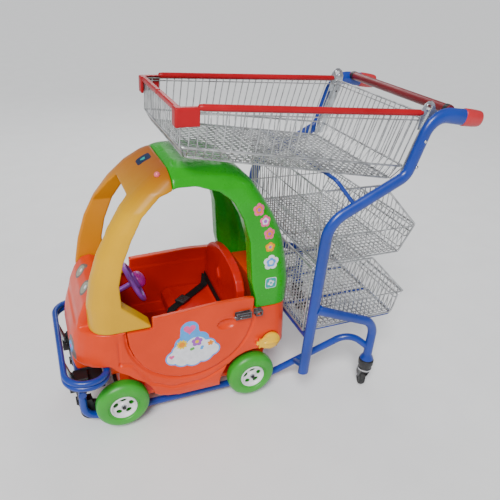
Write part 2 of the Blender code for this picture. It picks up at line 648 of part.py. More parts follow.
def make_car_body():
    body = loft("car_body", [rounded_ring(front, rear, half, front_r, rear_r, z)
                             for z, front, rear, half, front_r, rear_r in BODY_LEVELS], "orange")
    cowl = side_outline("cowl", [(-0.590, 0.330), (-0.430, 0.330), (-0.437, 0.440), (-0.468, 0.492),
                                 (-0.500, 0.506), (-0.527, 0.500), (-0.551, 0.470), (-0.570, 0.424)],
                        0.0008 - WINDOW_HALF_W, WINDOW_HALF_W - 0.0008, None)
    panel = side_outline("right_door_panel", [(-0.030, 0.36), (-0.030, 0.440), (-0.15, 0.444),
                                              (-0.360, 0.434), (-0.360, 0.36)], 0.171, 0.1945, None)
    deck = box("rear_deck", (-0.040, 0.0008 - WINDOW_HALF_W, 0.36), (0.094, WINDOW_HALF_W - 0.0008, 0.43))
    join(body, cowl, panel, deck)
    cabin = loft("cabin", [rounded_ring(-0.432, 0.012, 0.168, 0.05, 0.05, 0.235),
                           rounded_ring(-0.432, 0.012, 0.170, 0.05, 0.05, 0.47)])
    footwell = box("footwell", (-0.425, -0.110, 0.128), (-0.060, 0.110, 0.30))
    nose_under = box("nose_under", (-0.65, -0.25, 0.05), (FRONT_AXLE_X, 0.25, 0.205))
    tail_under = box("tail_under", (REAR_AXLE_X + 0.06, -0.25, 0.05), (0.15, 0.25, 0.172))
    cut(body, cabin, footwell, nose_under, tail_under)
    lips = {"nose_side": [(-0.65, 0.05), (-0.65, 0.2735), (-0.494, 0.2735), (-0.470, 0.245), (-0.440, 0.222),
                          (-0.415, 0.196), (-0.397, 0.164), (-0.380, 0.140), (-0.362, 0.120),
                          (-0.340, 0.104), (-0.312, 0.093), (-0.280, BODY_BOTTOM + 0.001), (-0.280, 0.05)],
            "tail_side": [(0.02, 0.05), (0.02, 0.212), (0.065, 0.218), (0.15, 0.235), (0.15, 0.05)]}
    for side, sign in SIDES:
        for name, rim in lips.items():
            cut(body, side_outline(f"{name}_{side}", rim, *sorted((sign * 0.1495, sign * 0.25)), None))
        y_low, y_high = sorted((sign * 0.092, sign * 0.16))
        cut(body, box(f"bumper_room_{side}", (-0.65, y_low, 0.05), (-0.490, y_high, 0.2735)))
    for name, x, arch_r in (("front", FRONT_AXLE_X, ARCH_FRONT_R), ("rear", REAR_AXLE_X, ARCH_REAR_R)):
        tunnel = box(f"{name}_tunnel", (x - 0.022, -0.16, 0.05), (x + 0.022, 0.16, AXLE_Z + 0.0123))
        cut(body, tunnel)
        for side, sign in SIDES:
            cut(body, cylinder(f"{name}_arch_{side}", (x, sign * 0.1495, AXLE_Z),
                               (x, sign * 0.25, AXLE_Z), arch_r, sides=24))
    recess = side_outline("door_recess", doorway_rim(DOOR_GAP), -0.25, DOOR_OUT_Y + DOOR_THICK + 0.001, None)
    doorway = side_outline("doorway", doorway_rim(-0.018), -0.25, -0.108, None)
    cut(body, recess, doorway)
    hole = cylinder("column_hole", STEER - STEER_AXIS * 0.14, STEER, 0.0095, sides=12)
    cut(body, hole)
    filler = cylinder("filler_pocket", (CAP_X, CAP_Y - 0.03, CAP_Z), (CAP_X, CAP_Y + 0.007, CAP_Z),
                      CAP_R + 0.002, sides=20)
    cut(body, filler)
    for number, rise in enumerate((-0.0125, 0.0085)):
        join(body, box(f"cap_lug_{number}", (CAP_HINGE_X - 0.004, CAP_HINGE_Y - 0.004, CAP_Z + rise),
                       (CAP_HINGE_X + 0.004, -0.190, CAP_Z + rise + 0.004)))


CANOPY_LEVELS = ((BODY_TOP, -0.545, 0.104, 0.195, 0.06, 0.05), (0.480, -0.545, 0.103, 0.195, 0.06, 0.05),
                 (0.560, -0.530, 0.090, 0.193, 0.06, 0.05), (0.640, -0.505, 0.070, 0.190, 0.06, 0.05),
                 (0.710, -0.470, 0.038, 0.186, 0.06, 0.05), (0.770, -0.425, 0.000, 0.180, 0.06, 0.05),
                 (0.820, -0.375, -0.034, 0.171, 0.06, 0.05), (0.853, -0.330, -0.070, 0.155, 0.06, 0.05),
                 (0.873, -0.290, -0.110, 0.130, 0.05, 0.05), (0.882, -0.262, -0.150, 0.098, 0.04, 0.04))


def make_canopy(name, other_low, other_high, colour):
    """One half of the hollow canopy, left after cutting away the other half and the windows."""
    levels = [(BODY_TOP + GAP,) + CANOPY_LEVELS[0][1:]] + list(CANOPY_LEVELS[1:])
    shell = loft(name, [rounded_ring(f, r, w, fr, rr, z, 5) for z, f, r, w, fr, rr in levels], colour)
    inner_levels = [(z, f + 0.078, r - 0.058, w - 0.050, 0.03, 0.03) for z, f, r, w, _, _ in levels[:-3]]
    inner_levels[0] = (BODY_TOP - 0.01,) + inner_levels[0][1:]
    inside = loft(f"{name}_inside", [rounded_ring(f, r, w, fr, rr, z, 2)
                                     for z, f, r, w, fr, rr in inner_levels])
    window = [(PILLAR_TOE_X, 0.30), (-0.021, 0.30), (-0.021, 0.420), (-0.039, 0.490), (-0.053, 0.639),
              (-0.076, 0.716), (-0.108, 0.774), (-0.150, 0.808), (-0.220, 0.829), (-0.275, 0.829),
              (-0.325, 0.810), (-0.376, 0.760), (-0.409, 0.697), (-0.438, 0.625), (-0.452, 0.560),
              (-0.450, 0.485), (PILLAR_TOE_X, 0.404)]
    doorways = side_outline(f"{name}_side_windows", window, -0.25, 0.25, None)
    ends = box(f"{name}_end_windows", (-0.60, -WINDOW_HALF_W, 0.30), (0.20, WINDOW_HALF_W, 0.700))
    taper = loft(f"{name}_window_top", [[(0.2, w, z), (-0.6, w, z), (-0.6, -w, z), (0.2, -w, z)]
                                        for z, w in ((0.695, WINDOW_HALF_W), (0.790, 0.085))])
    other_half = box(f"{name}_other_half", (other_low, -0.3, 0.2), (other_high, 0.3, 1.0))
    cut(shell, inside, doorways, ends, taper, other_half)


def make_door():
    door = side_outline("door", door_rim(), DOOR_OUT_Y, DOOR_OUT_Y + DOOR_THICK, "orange")
    grip = cylinder("door_grip", (-0.121, DOOR_OUT_Y - 0.03, 0.355), (-0.121, DOOR_OUT_Y + 0.007, 0.355),
                    0.030, sides=20)
    cut(door, grip)
    x_low, x_high = -0.094, -0.040
    barrel = box("latch_barrel", (x_low, DOOR_OUT_Y - 0.0020, BOLT_Z - 0.009),
                 (x_high, DOOR_OUT_Y - GAP, BOLT_Z + 0.009), "chrome")
    sleeve = cylinder("latch_sleeve", (x_low + 0.002, BOLT_Y, BOLT_Z), (x_high - 0.002, BOLT_Y, BOLT_Z),
                      0.0056, sides=16)
    bore = cylinder("latch_bore", (x_low - 0.01, BOLT_Y, BOLT_Z), (x_high + 0.01, BOLT_Y, BOLT_Z), 0.0036,
                    sides=16)
    slot = box("latch_slot", (x_low + 0.008, BOLT_Y - 0.02, BOLT_Z - 0.0022),
               (x_low + 0.038, BOLT_Y, BOLT_Z + 0.0022))
    join(barrel, sleeve)
    cut(barrel, bore, slot)
    bolt = cylinder("latch_bolt", (x_low - 0.006, BOLT_Y, BOLT_Z), (x_high + 0.0005, BOLT_Y, BOLT_Z), 0.0033,
                    "chrome", sides=16)
    knob = cylinder("bolt_knob", (x_low + 0.012, BOLT_Y, BOLT_Z), (x_low + 0.012, BOLT_Y - 0.013, BOLT_Z),
                    0.0018, sides=8)
    join(bolt, knob)
    pivot("door_hinge", (DOOR_FRONT_X, DOOR_OUT_Y, DOOR_HINGE_Z), door, barrel)
    pivot("bolt_slide", (x_low, BOLT_Y, BOLT_Z), bolt)


def make_seat():
    """The moulded seat: a cushion block and a back with an arched top."""
    cushion = side_outline("seat", [(-0.250, 0.2355), (-0.045, 0.2355), (-0.045, 0.30), (-0.085, 0.290),
                                    (-0.225, 0.296), (-0.250, 0.280)], -0.163, 0.163, "deep_red")
    rim = [(-0.163, 0.2360), (0.163, 0.2360)]
    for step in range(13):
        angle = math.pi * step / 12
        rim.append((0.163 * math.cos(angle), 0.400 + 0.117 * math.sin(angle) ** 0.7))
    turn = Matrix(((0, 0, 1, -0.0615), (1, 0, 0, 0), (0, 1, 0, 0), (0, 0, 0, 1)))
    back = as_mesh(outline("seat_back", [rim], 0.030, None, turn))
    join(cushion, back)


def make_steering():
    """The steering wheel with its spokes, boss and column, all turning as one."""
    turn = STEER_AXIS.to_track_quat("Z", "Y").to_matrix().to_4x4()
    turn.translation = STEER
    ring = [turn @ Vector((STEER_R * math.cos(a), STEER_R * math.sin(a), 0))
            for a in [2 * math.pi * i / 16 for i in range(16)]]
    boss = cylinder("steering_wheel", STEER - STEER_AXIS * 0.010, STEER + STEER_AXIS * 0.030, 0.020,
                    "violet", end_radius=0.015)
    rim = as_mesh(tube("steering_rim", ring, 0.0075, None, resolution=2, closed=True))
    join(boss, rim)
    for number in range(3):
        angle = math.radians(90 + 120 * number)
        tip = turn @ Vector((STEER_R * math.cos(angle), STEER_R * math.sin(angle), 0))
        join(boss, cylinder(f"steering_spoke_{number}", STEER, tip, 0.006, sides=8))
    join(boss, cylinder("steering_column", STEER - STEER_AXIS * 0.115, STEER, 0.0085, sides=12))
    pivot("steering_axis", STEER, boss)


def make_seat_belt():
    """The webbing, from its anchor at the far side: one half lies along the back, one over the cushion."""
    rim = [(0.158, 0.318), (0.158, 0.348), (-0.150, 0.327), (-0.150, 0.303)]
    turn = Matrix(((0, 0, 1, -0.0795), (1, 0, 0, 0), (0, 1, 0, 0), (0, 0, 0, 1)))
    belt = as_mesh(outline("seat_belt", [rim], 0.004, "black", turn))
    rise = box("belt_rise", (-0.0860, 0.122, 0.2980), (-0.0775, 0.157, 0.335))
    start, end = Vector((-0.0875, 0.136, BELT_LAP_Z)), Vector((-0.246, 0.010, BELT_LAP_Z))
    place = (end - start).to_track_quat("X", "Z").to_matrix().to_4x4()
    place.translation = start
    lap = box("belt_lap", (0, -0.014, -0.0018), ((end - start).length, 0.014, 0.0018))
    buckle = box("belt_buckle", (0.125, -0.020, -0.0020), (0.165, 0.020, 0.0090))
    for piece in (lap, buckle):
        piece.matrix_world = place
    drop = box("belt_drop", (-0.2560, -0.010, 0.262), (-0.2520, 0.022, BELT_LAP_Z + 0.0018))
    bend = box("belt_bend", (-0.2560, -0.010, BELT_LAP_Z - 0.0016), (-0.2400, 0.022, BELT_LAP_Z + 0.0018))
    join(belt, rise, lap, buckle, drop, bend)


def make_fuel_cap():
    """The filler cap, whose tab ends in a knuckle between two lugs of the body."""
    cap = cylinder("fuel_cap", (CAP_X, CAP_Y + 0.0065, CAP_Z), (CAP_X, CAP_Y - 0.010, CAP_Z), CAP_R, "lemon",
                   sides=24, end_radius=CAP_R - 0.004)
    tab = box("cap_tab", (CAP_HINGE_X, CAP_Y - 0.0085, CAP_Z - 0.008),
              (CAP_X, CAP_Y - 0.0010, CAP_Z + 0.008))
    knuckle = cylinder("cap_knuckle", (CAP_HINGE_X, CAP_HINGE_Y, CAP_Z - 0.008),
                       (CAP_HINGE_X, CAP_HINGE_Y, CAP_Z + 0.008), 0.004, sides=12)
    join(cap, tab, knuckle)
    pivot("fuel_cap_hinge", (CAP_HINGE_X, CAP_HINGE_Y, CAP_Z), cap)


def make_wheels():
    """Axles with round journals and saddles for the rails, tyres and hubs."""
    half = WHEEL_W / 2
    hub_r, bore = HUB_R + GAP, JOURNAL_R + 0.0002
    tyre = [(hub_r, half - 0.003), (WHEEL_R - 0.030, half), (WHEEL_R - 0.010, half - 0.007),
            (WHEEL_R, half - 0.019), (WHEEL_R, 0.019 - half), (WHEEL_R - 0.010, 0.007 - half),
            (WHEEL_R - 0.030, -half), (hub_r, -half)]
    disc = [(bore, half + 0.003), (0.013, half + 0.003), (0.016, half - 0.005),
            (HUB_R - 0.008, half - 0.006), (HUB_R, half - 0.001), (HUB_R, -half), (bore, -half)]
    for name, x in (("front", FRONT_AXLE_X), ("rear", REAR_AXLE_X)):
        axle = box(f"{name}_axle", (x - 0.012, -0.1495, AXLE_Z - 0.012), (x + 0.012, 0.1495, AXLE_Z + 0.012),
                   "black")
        join(axle, cylinder(f"{name}_journals", (x, -0.206, AXLE_Z), (x, 0.206, AXLE_Z), JOURNAL_R,
                            sides=12))
        for side, sign in SIDES:
            y = sign * RAIL_Y
            join(axle, box(f"{name}_saddle_{side}", (x - 0.012, y - 0.011, RAIL_Z + 0.0095),
                           (x + 0.012, y + 0.011, AXLE_Z)))
            place = (Matrix.Translation((x, sign * WHEEL_Y, AXLE_Z))
                     @ Matrix.Rotation(-sign * math.pi / 2, 4, "X"))
            turned(f"{name}_tyre_{side}", tyre, place, "tyre", steps=24)
            turned(f"{name}_hub_{side}", disc, place, "white", steps=24)
        for side, sign in SIDES:
            cut(axle, cylinder(f"{name}_saddle_cope_{side}", (x - 0.05, sign * RAIL_Y, RAIL_Z),
                               (x + 0.05, sign * RAIL_Y, RAIL_Z), RAIL_R + GAP))


make_frame()
make_baskets()
make_basket_trim()
make_car_body()
make_canopy("windshield_frame", SEAM_X - GAP, 0.4, "yellow")
make_canopy("roof", -0.8, SEAM_X, "green")
make_door()
make_seat()
make_steering()
make_seat_belt()
make_fuel_cap()
make_wheels()
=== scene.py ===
"""The looks of the shopping cart: wire baskets, mouldings, wheels and fittings over its CAD frame."""
import json
import math

import bmesh
import bpy
from mathutils import Matrix, Vector
from mathutils.bvhtree import BVHTree

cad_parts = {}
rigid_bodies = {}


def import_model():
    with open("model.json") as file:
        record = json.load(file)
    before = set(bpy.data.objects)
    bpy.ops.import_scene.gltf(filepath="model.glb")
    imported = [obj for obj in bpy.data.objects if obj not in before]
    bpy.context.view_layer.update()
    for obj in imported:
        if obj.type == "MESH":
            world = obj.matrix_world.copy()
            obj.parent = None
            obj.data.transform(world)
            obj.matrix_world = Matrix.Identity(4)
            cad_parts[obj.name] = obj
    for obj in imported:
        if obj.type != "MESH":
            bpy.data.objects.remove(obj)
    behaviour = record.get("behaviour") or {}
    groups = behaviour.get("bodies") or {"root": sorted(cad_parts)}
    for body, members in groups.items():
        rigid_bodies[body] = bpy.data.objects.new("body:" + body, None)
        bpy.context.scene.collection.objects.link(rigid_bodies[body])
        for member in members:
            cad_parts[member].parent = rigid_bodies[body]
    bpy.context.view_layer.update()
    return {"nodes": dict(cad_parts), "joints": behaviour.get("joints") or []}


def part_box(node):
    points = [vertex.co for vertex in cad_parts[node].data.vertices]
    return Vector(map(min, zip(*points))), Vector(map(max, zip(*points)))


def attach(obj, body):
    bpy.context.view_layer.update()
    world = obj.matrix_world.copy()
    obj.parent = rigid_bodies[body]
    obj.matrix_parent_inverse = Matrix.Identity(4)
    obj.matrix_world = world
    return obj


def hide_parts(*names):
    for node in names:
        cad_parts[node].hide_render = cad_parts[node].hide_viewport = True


for old in list(bpy.data.objects):
    bpy.data.objects.remove(old, do_unlink=True)

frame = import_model()
nodes = frame["nodes"]
SIDES = (("left", -1), ("right", 1))

# ---- driving dimensions, in metres --------------------------------------------------------
WIRE_R, RIM_R = 0.0019, 0.0031          # basket wires and the thicker wires round their edges
TUBE_FLAT = 0.737                       # the side tubes' width over their height
DECAL = 0.0003                          # a sticker's thickness
TUBE_Y = 0.2805                         # the side tubes' middle planes
CROSS_X, CASTER_Y = -0.585, 0.105       # the front cross tube, and the casters under it
AXLE_BACK, AXLE_Z = 0.028, 0.038        # a caster's axle behind its stem and above the floor
FORK_HALF, CHEEK_Y, CHEEK = 0.0155, 0.0140, 0.0030      # a caster's fork and its cheeks' thickness
BODY_SIDE_Y, PILLAR_Y = 0.172, -0.195   # past it the car body's side begins; the roof pillar's outside
PUSH_X, PUSH_Z = 0.530, 1.041           # the push bar
TRAY_X, TRAY_HALF, TRAY_Z = (0.143, 0.4955), 0.2525, 0.3082     # the bars under the tray basket
BUMPER_Z = (0.2415, 0.2605)             # the two bars of the bumper
MOST_TRIANGLES = 190000                 # the most that one piece may have
UPRIGHT = Matrix.Rotation(math.pi / 2, 4, "X")      # turns local Z towards -Y


# ---- materials ----------------------------------------------------------------------------
def node(tree, kind, **values):
    """A shader node with some of its inputs or settings given."""
    made = tree.nodes.new(kind)
    for name, value in values.items():
        if name in made.inputs:
            made.inputs[name].default_value = value
        else:
            setattr(made, name, value)
    return made


def noise(tree, place, scale, detail=3.0, roughness=0.5):
    made = node(tree, "ShaderNodeTexNoise", Scale=scale, Detail=detail, Roughness=roughness)
    tree.links.new(place, made.inputs["Vector"])
    return made.outputs["Fac"]


def ranged(tree, source, low, high, new_low, new_high):
    made = node(tree, "ShaderNodeMapRange")
    for name, value in (("From Min", low), ("From Max", high), ("To Min", new_low), ("To Max", new_high)):
        made.inputs[name].default_value = value
    tree.links.new(source, made.inputs["Value"])
    return made.outputs["Result"]


def mixed(tree, share, first, second):
    """A colour between two colours, each a socket or a tuple."""
    made = node(tree, "ShaderNodeMix", data_type="RGBA")
    tree.links.new(share, made.inputs["Factor"])
    for socket, colour in ((made.inputs[6], first), (made.inputs[7], second)):
        if isinstance(colour, tuple):
            socket.default_value = (*colour, 1.0)
        else:
            tree.links.new(colour, socket)
    return made.outputs[2]


def finish_of(name, colour, rough=(0.3, 0.45), metallic=0.0, coat=0.0, mottle=0.12, mottle_scale=7.0,
              grain=350.0, grain_depth=0.00006, wave=0.0, dust=0.0, worn=None, specular=0.5):
    """A surface with soft colour variation, uneven gloss, fine grain and, if asked, dust or worn spots."""
    made = bpy.data.materials.new(name)
    made.use_nodes = True
    tree = made.node_tree
    shader = tree.nodes["Principled BSDF"]
    place = node(tree, "ShaderNodeTexCoord").outputs["Object"]
    deep = tuple(max(0.0, c * (1 - mottle)) for c in colour)
    pale = tuple(min(1.0, c * (1 + mottle * 0.7) + 0.01 * mottle) for c in colour)
    cloud = noise(tree, place, mottle_scale, 4.0)
    tint = mixed(tree, ranged(tree, cloud, 0.35, 0.65, 0.0, 1.0), deep, pale)
    if dust:
        speck = ranged(tree, noise(tree, place, 26.0, 6.0, 0.7), 0.56, 0.78, 0.0, dust)
        tint = mixed(tree, speck, tint, (0.42, 0.40, 0.37))
    if worn:
        chip = ranged(tree, noise(tree, place, 75.0, 5.0, 0.65), 0.66, 0.70, 0.0, 0.8)
        tint = mixed(tree, chip, tint, worn)
    tree.links.new(tint, shader.inputs["Base Color"])
    smear = noise(tree, place, 17.0, 5.0, 0.6)
    tree.links.new(ranged(tree, smear, 0.3, 0.7, *rough), shader.inputs["Roughness"])
    shader.inputs["Metallic"].default_value = metallic
    shader.inputs["Coat Weight"].default_value = coat
    shader.inputs["Coat Roughness"].default_value = 0.12
    shader.inputs["Specular IOR Level"].default_value = specular
    fine = node(tree, "ShaderNodeBump", Strength=0.5, Distance=grain_depth)
    tree.links.new(noise(tree, place, grain, 2.0), fine.inputs["Height"])
    last = fine
    if wave:
        broad = node(tree, "ShaderNodeBump", Strength=0.6, Distance=wave)
        tree.links.new(noise(tree, place, 22.0, 2.0), broad.inputs["Height"])
        tree.links.new(fine.outputs["Normal"], broad.inputs["Normal"])
        last = broad
    tree.links.new(last.outputs["Normal"], shader.inputs["Normal"])
    return made


def colour_and_place(made):
    """What a finish's colour is set by, the input it goes to, and the place split into x, y and z."""
    tree = made.node_tree
    target = tree.nodes["Principled BSDF"].inputs["Base Color"]
    split = node(tree, "ShaderNodeSeparateXYZ")
    tree.links.new(node(tree, "ShaderNodeTexCoord").outputs["Object"], split.inputs[0])
    return tree, target.links[0].from_socket, target, split.outputs


def graded(made, far_colour, axis, start, end):
    """Blends a finish towards a second colour along one axis of the trolley."""
    tree, old, target, place = colour_and_place(made)
    share = ranged(tree, place[axis], start, end, 0.0, 1.0)
    tree.links.new(mixed(tree, share, old, far_colour), target)


def lined(made, inner, limits, edge):
    """Gives a finish a second colour inside a block of space, given as lowest and highest corner."""
    tree, old, target, place = colour_and_place(made)
    share = None
    for axis, (low, high) in enumerate(zip(*limits)):
        for bound, sign in ((low, 1), (high, -1)):
            step = ranged(tree, place[axis], bound - edge * sign, bound + edge * sign, 0.0, 1.0)
            if share is None:
                share = step
            else:
                both = node(tree, "ShaderNodeMath", operation="MULTIPLY")
                tree.links.new(share, both.inputs[0])
                tree.links.new(step, both.inputs[1])
                share = both.outputs[0]
    tree.links.new(mixed(tree, share, old, inner), target)


def webbing_finish():
    """Black woven strap: fine ribs along its length and a slight sheen."""
    made = bpy.data.materials.new("webbing_weave")
    made.use_nodes = True
    tree = made.node_tree
    shader = tree.nodes["Principled BSDF"]
    place = node(tree, "ShaderNodeTexCoord").outputs["Object"]
    ribs = node(tree, "ShaderNodeTexWave", Scale=170.0, Distortion=1.2, bands_direction="DIAGONAL")
    tree.links.new(place, ribs.inputs["Vector"])
    cross = node(tree, "ShaderNodeTexWave", Scale=210.0, Distortion=0.6, bands_direction="Z")
    tree.links.new(place, cross.inputs["Vector"])
    tree.links.new(mixed(tree, ribs.outputs["Fac"], (0.002, 0.002, 0.002), (0.012, 0.012, 0.013)),
                   shader.inputs["Base Color"])
    bump = node(tree, "ShaderNodeBump", Strength=0.6, Distance=0.0005)
    tree.links.new(cross.outputs["Fac"], bump.inputs["Height"])
    tree.links.new(bump.outputs["Normal"], shader.inputs["Normal"])
    tree.links.new(ranged(tree, ribs.outputs["Fac"], 0.0, 1.0, 0.62, 0.85), shader.inputs["Roughness"])
    shader.inputs["Specular IOR Level"].default_value = 0.2
    return made


FINISH = {
    "blue": finish_of("blue_powder_coat", (0.004, 0.036, 0.30), (0.26, 0.42), coat=0.12, mottle=0.18,
                      grain=520.0, grain_depth=0.00010, wave=0.0002, dust=0.05, worn=(0.02, 0.04, 0.14)),
    "zinc": finish_of("zinc_wire", (0.52, 0.53, 0.54), (0.26, 0.46), metallic=0.85, mottle=0.30,
                      mottle_scale=30.0, grain=700.0, grain_depth=0.00005),
    "galvanised": finish_of("galvanised_plate", (0.50, 0.53, 0.56), (0.28, 0.5), metallic=0.85, mottle=0.28,
                            mottle_scale=45.0, grain=260.0, grain_depth=0.00008),
    "chrome": finish_of("chrome_plate", (0.62, 0.62, 0.64), (0.10, 0.26), metallic=1.0, mottle=0.14,
                        mottle_scale=25.0, grain=300.0, grain_depth=0.00003),
    "steel": finish_of("dull_steel", (0.17, 0.17, 0.18), (0.22, 0.42), metallic=0.9, mottle=0.35,
                       mottle_scale=60.0, grain=400.0, grain_depth=0.00006),
    "red": finish_of("red_plastic", (0.42, 0.003, 0.010), (0.30, 0.44), coat=0.0, mottle=0.16, grain=420.0,
                     grain_depth=0.00009, dust=0.02, specular=0.25),
    "cap_red": finish_of("cap_red_plastic", (0.56, 0.020, 0.028), (0.30, 0.48), coat=0.05, mottle=0.18,
                         grain=380.0, grain_depth=0.00010, dust=0.05),
    "maroon": finish_of("maroon_sleeve", (0.17, 0.003, 0.008), (0.28, 0.46), coat=0.1, mottle=0.22,
                        grain=450.0, grain_depth=0.00008, dust=0.08),
    "orange": finish_of("orange_moulding", (0.72, 0.042, 0.001), (0.28, 0.42), coat=0.04, mottle=0.08,
                        grain=300.0, grain_depth=0.00006, wave=0.0004, specular=0.3),
    "deep_red": finish_of("deep_red_moulding", (0.52, 0.008, 0.002), (0.28, 0.44), coat=0.04, mottle=0.12,
                          grain=300.0, grain_depth=0.00006, wave=0.0004, specular=0.3),
    "yellow": finish_of("yellow_moulding", (0.68, 0.36, 0.0), (0.28, 0.40), coat=0.0, mottle=0.07,
                        grain=320.0, grain_depth=0.00005, wave=0.0004, specular=0.3),
    "green": finish_of("green_moulding", (0.008, 0.32, 0.006), (0.22, 0.34), coat=0.10, mottle=0.10,
                       grain=320.0, grain_depth=0.00005, wave=0.0004, specular=0.3),
    "tyre": finish_of("green_tyre", (0.028, 0.34, 0.020), (0.32, 0.48), coat=0.04, mottle=0.14, grain=300.0,
                      grain_depth=0.00010, wave=0.0003, dust=0.08),
    "white": finish_of("white_hub", (0.78, 0.78, 0.79), (0.26, 0.42), coat=0.2, mottle=0.07,
                       grain=350.0, grain_depth=0.00007, dust=0.08),
    "lemon": finish_of("lemon_plastic", (0.84, 0.48, 0.0), (0.26, 0.40), coat=0.05, mottle=0.10,
                       grain=380.0, grain_depth=0.00008),
    "violet": finish_of("violet_plastic", (0.32, 0.07, 0.60), (0.28, 0.42), coat=0.08, mottle=0.10,
                        grain=380.0, grain_depth=0.00008),
    "magenta": finish_of("magenta_plastic", (0.56, 0.012, 0.42), (0.22, 0.36), coat=0.1, mottle=0.10,
                         grain=380.0, grain_depth=0.00006),
    "pink": finish_of("pink_plastic", (0.80, 0.12, 0.18), (0.24, 0.38), coat=0.25, mottle=0.10, grain=380.0,
                      grain_depth=0.00006),
    "black": finish_of("black_moulding", (0.014, 0.014, 0.016), (0.35, 0.55), mottle=0.25, grain=420.0,
                       grain_depth=0.00012, dust=0.06),
    "rubber": finish_of("black_rubber", (0.018, 0.018, 0.019), (0.55, 0.75), mottle=0.25, grain=600.0,
                        grain_depth=0.00015, dust=0.15),
    "webbing": webbing_finish(),
    "floor": finish_of("pale_floor", (0.90, 0.90, 0.90), (0.6, 0.7), mottle=0.015, grain=60.0,
                       grain_depth=0.00005, specular=0.1),
}
graded(FINISH["yellow"], (0.58, 0.17, 0.0), 1, -0.10, 0.20)
graded(FINISH["yellow"], (0.34, 0.085, 0.0), 2, 0.76, 0.87)

# Painted shade: inside the car body, between its side walls, the orange is turned to a darker red for the
# shade that falls inside it.
lined(FINISH["orange"], (0.56, 0.009, 0.002), ((-0.437, -0.1725, 0.10), (-0.045, 0.1725, 0.60)), 0.0015)


def sticker(name, colour):
    """A matt printed sticker's finish."""
    return finish_of(f"sticker_{name}", colour, (0.35, 0.48), coat=0.05, mottle=0.08, mottle_scale=60.0,
                     specular=0.25, grain=500.0, grain_depth=0.00003)


FINISH.update((f"ink_{name}", sticker(name, colour)) for name, colour in (
    ("white", (0.74, 0.75, 0.80)), ("sky", (0.07, 0.34, 0.80)), ("rose", (0.80, 0.10, 0.30)),
    ("violet", (0.36, 0.09, 0.50)), ("amber", (0.84, 0.26, 0.005)), ("sun", (0.84, 0.54, 0.01)),
    ("teal", (0.006, 0.34, 0.34)), ("navy", (0.005, 0.016, 0.060)), ("leaf", (0.10, 0.40, 0.06)),
    ("grey", (0.16, 0.13, 0.12)), ("lens", (0.30, 0.31, 0.24))))


# ---- building -----------------------------------------------------------------------------
def linked(name, data):
    """A new object in the scene."""
    thing = bpy.data.objects.new(name, data)
    bpy.context.scene.collection.objects.link(thing)
    return thing


def put(name, data, look, body=None, stands_for=(), place=None):
    """A new piece with its finish, its body and the CAD nodes that it stands for."""
    piece = linked(name, data)
    if place is not None:
        piece.matrix_world = place
    data.materials.clear()
    data.materials.append(FINISH[look])
    if body:
        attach(piece, body)
    if stands_for:
        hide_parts(*stands_for)
    return piece


def shaded(bm, name, angle=40):
    """A mesh that is smooth except at edges sharper than the angle; it uses bm up."""
    bmesh.ops.recalc_face_normals(bm, faces=bm.faces)
    mesh = bpy.data.meshes.new(name)
    bm.to_mesh(mesh)
    bm.free()
    mesh.shade_smooth()
    mesh.set_sharp_from_angle(angle=math.radians(angle))
    return mesh


def arc_corners(points, radii, steps=10):
    """The path through points, with each inner corner turned into an arc."""
    path = [Vector(points[0])]
    for before, corner, after, radius in zip(points, points[1:], points[2:], radii):
        corner = Vector(corner)
        back = (Vector(before) - corner).normalized()
        ahead = (Vector(after) - corner).normalized()
        half = back.angle(ahead) / 2
        reach = radius / math.tan(half)
        centre = corner + (back + ahead).normalized() * (radius / math.sin(half))
        start = (corner + back * reach - centre).normalized()
        end = (corner + ahead * reach - centre).normalized()
        path += [centre + start.slerp(end, step / steps) * radius for step in range(steps + 1)]
    path.append(Vector(points[-1]))
    return path


def bar(name, paths, radius, look, body="trolley", stands_for=(), flat=None, radii=None, resolution=3,
        closed=False):
    """A piece of round bars along the paths; flat squeezes it along Y about its first point."""
    curve = bpy.data.curves.new(name, "CURVE")
    curve.dimensions = "3D"
    curve.bevel_depth = radius
    curve.bevel_resolution = resolution
    curve.use_fill_caps = True
    base = Vector((0, paths[0][0][1], 0)) if flat else Vector()
    for path in paths:
        spline = curve.splines.new("POLY")
        spline.points.add(len(path) - 1)
        spline.use_cyclic_u = closed
        spline.use_smooth = True
        for index, point in enumerate(path):
            spline.points[index].co = (*(Vector(point) - base), 1.0)
            if radii:
                spline.points[index].radius = radii[index]
    place = Matrix.Translation(base) @ Matrix.Diagonal((1, flat or 1, 1, 1))
    return put(name, curve, look, body, stands_for, place)


def around(steps):
    """Cosine and sine at even steps round a circle."""
    return [(math.cos(2 * math.pi * i / steps), math.sin(2 * math.pi * i / steps)) for i in range(steps)]


def skinned(bm, rows):
    """Faces between each ring of vertices and the next; a ring of one vertex makes a fan."""
    for low, high in zip(rows, rows[1:]):
        count = max(len(low), len(high))
        for i in range(count):
            j = (i + 1) % count
            if len(low) == 1:
                bm.faces.new((low[0], high[j], high[i]))
            elif len(high) == 1:
                bm.faces.new((low[i], low[j], high[0]))
            else:
                bm.faces.new((low[i], low[j], high[j], high[i]))


def spin(profile, steps):
    """The bmesh that a profile of (radius, height) points makes when turned round Z."""
    bm = bmesh.new()
    rows = [[bm.verts.new((radius * x, radius * y, height))
             for x, y in (around(steps) if radius else [(0, 0)])] for radius, height in profile]
    closed = min(radius for radius, _ in profile) > 0
    skinned(bm, rows + rows[:1] * closed)
    return bm


def turned(name, profile, place, look, body, stands_for=(), steps=72):
    """A piece turned round its local Z."""
    return put(name, shaded(spin(profile, steps), name), look, body, stands_for, place)


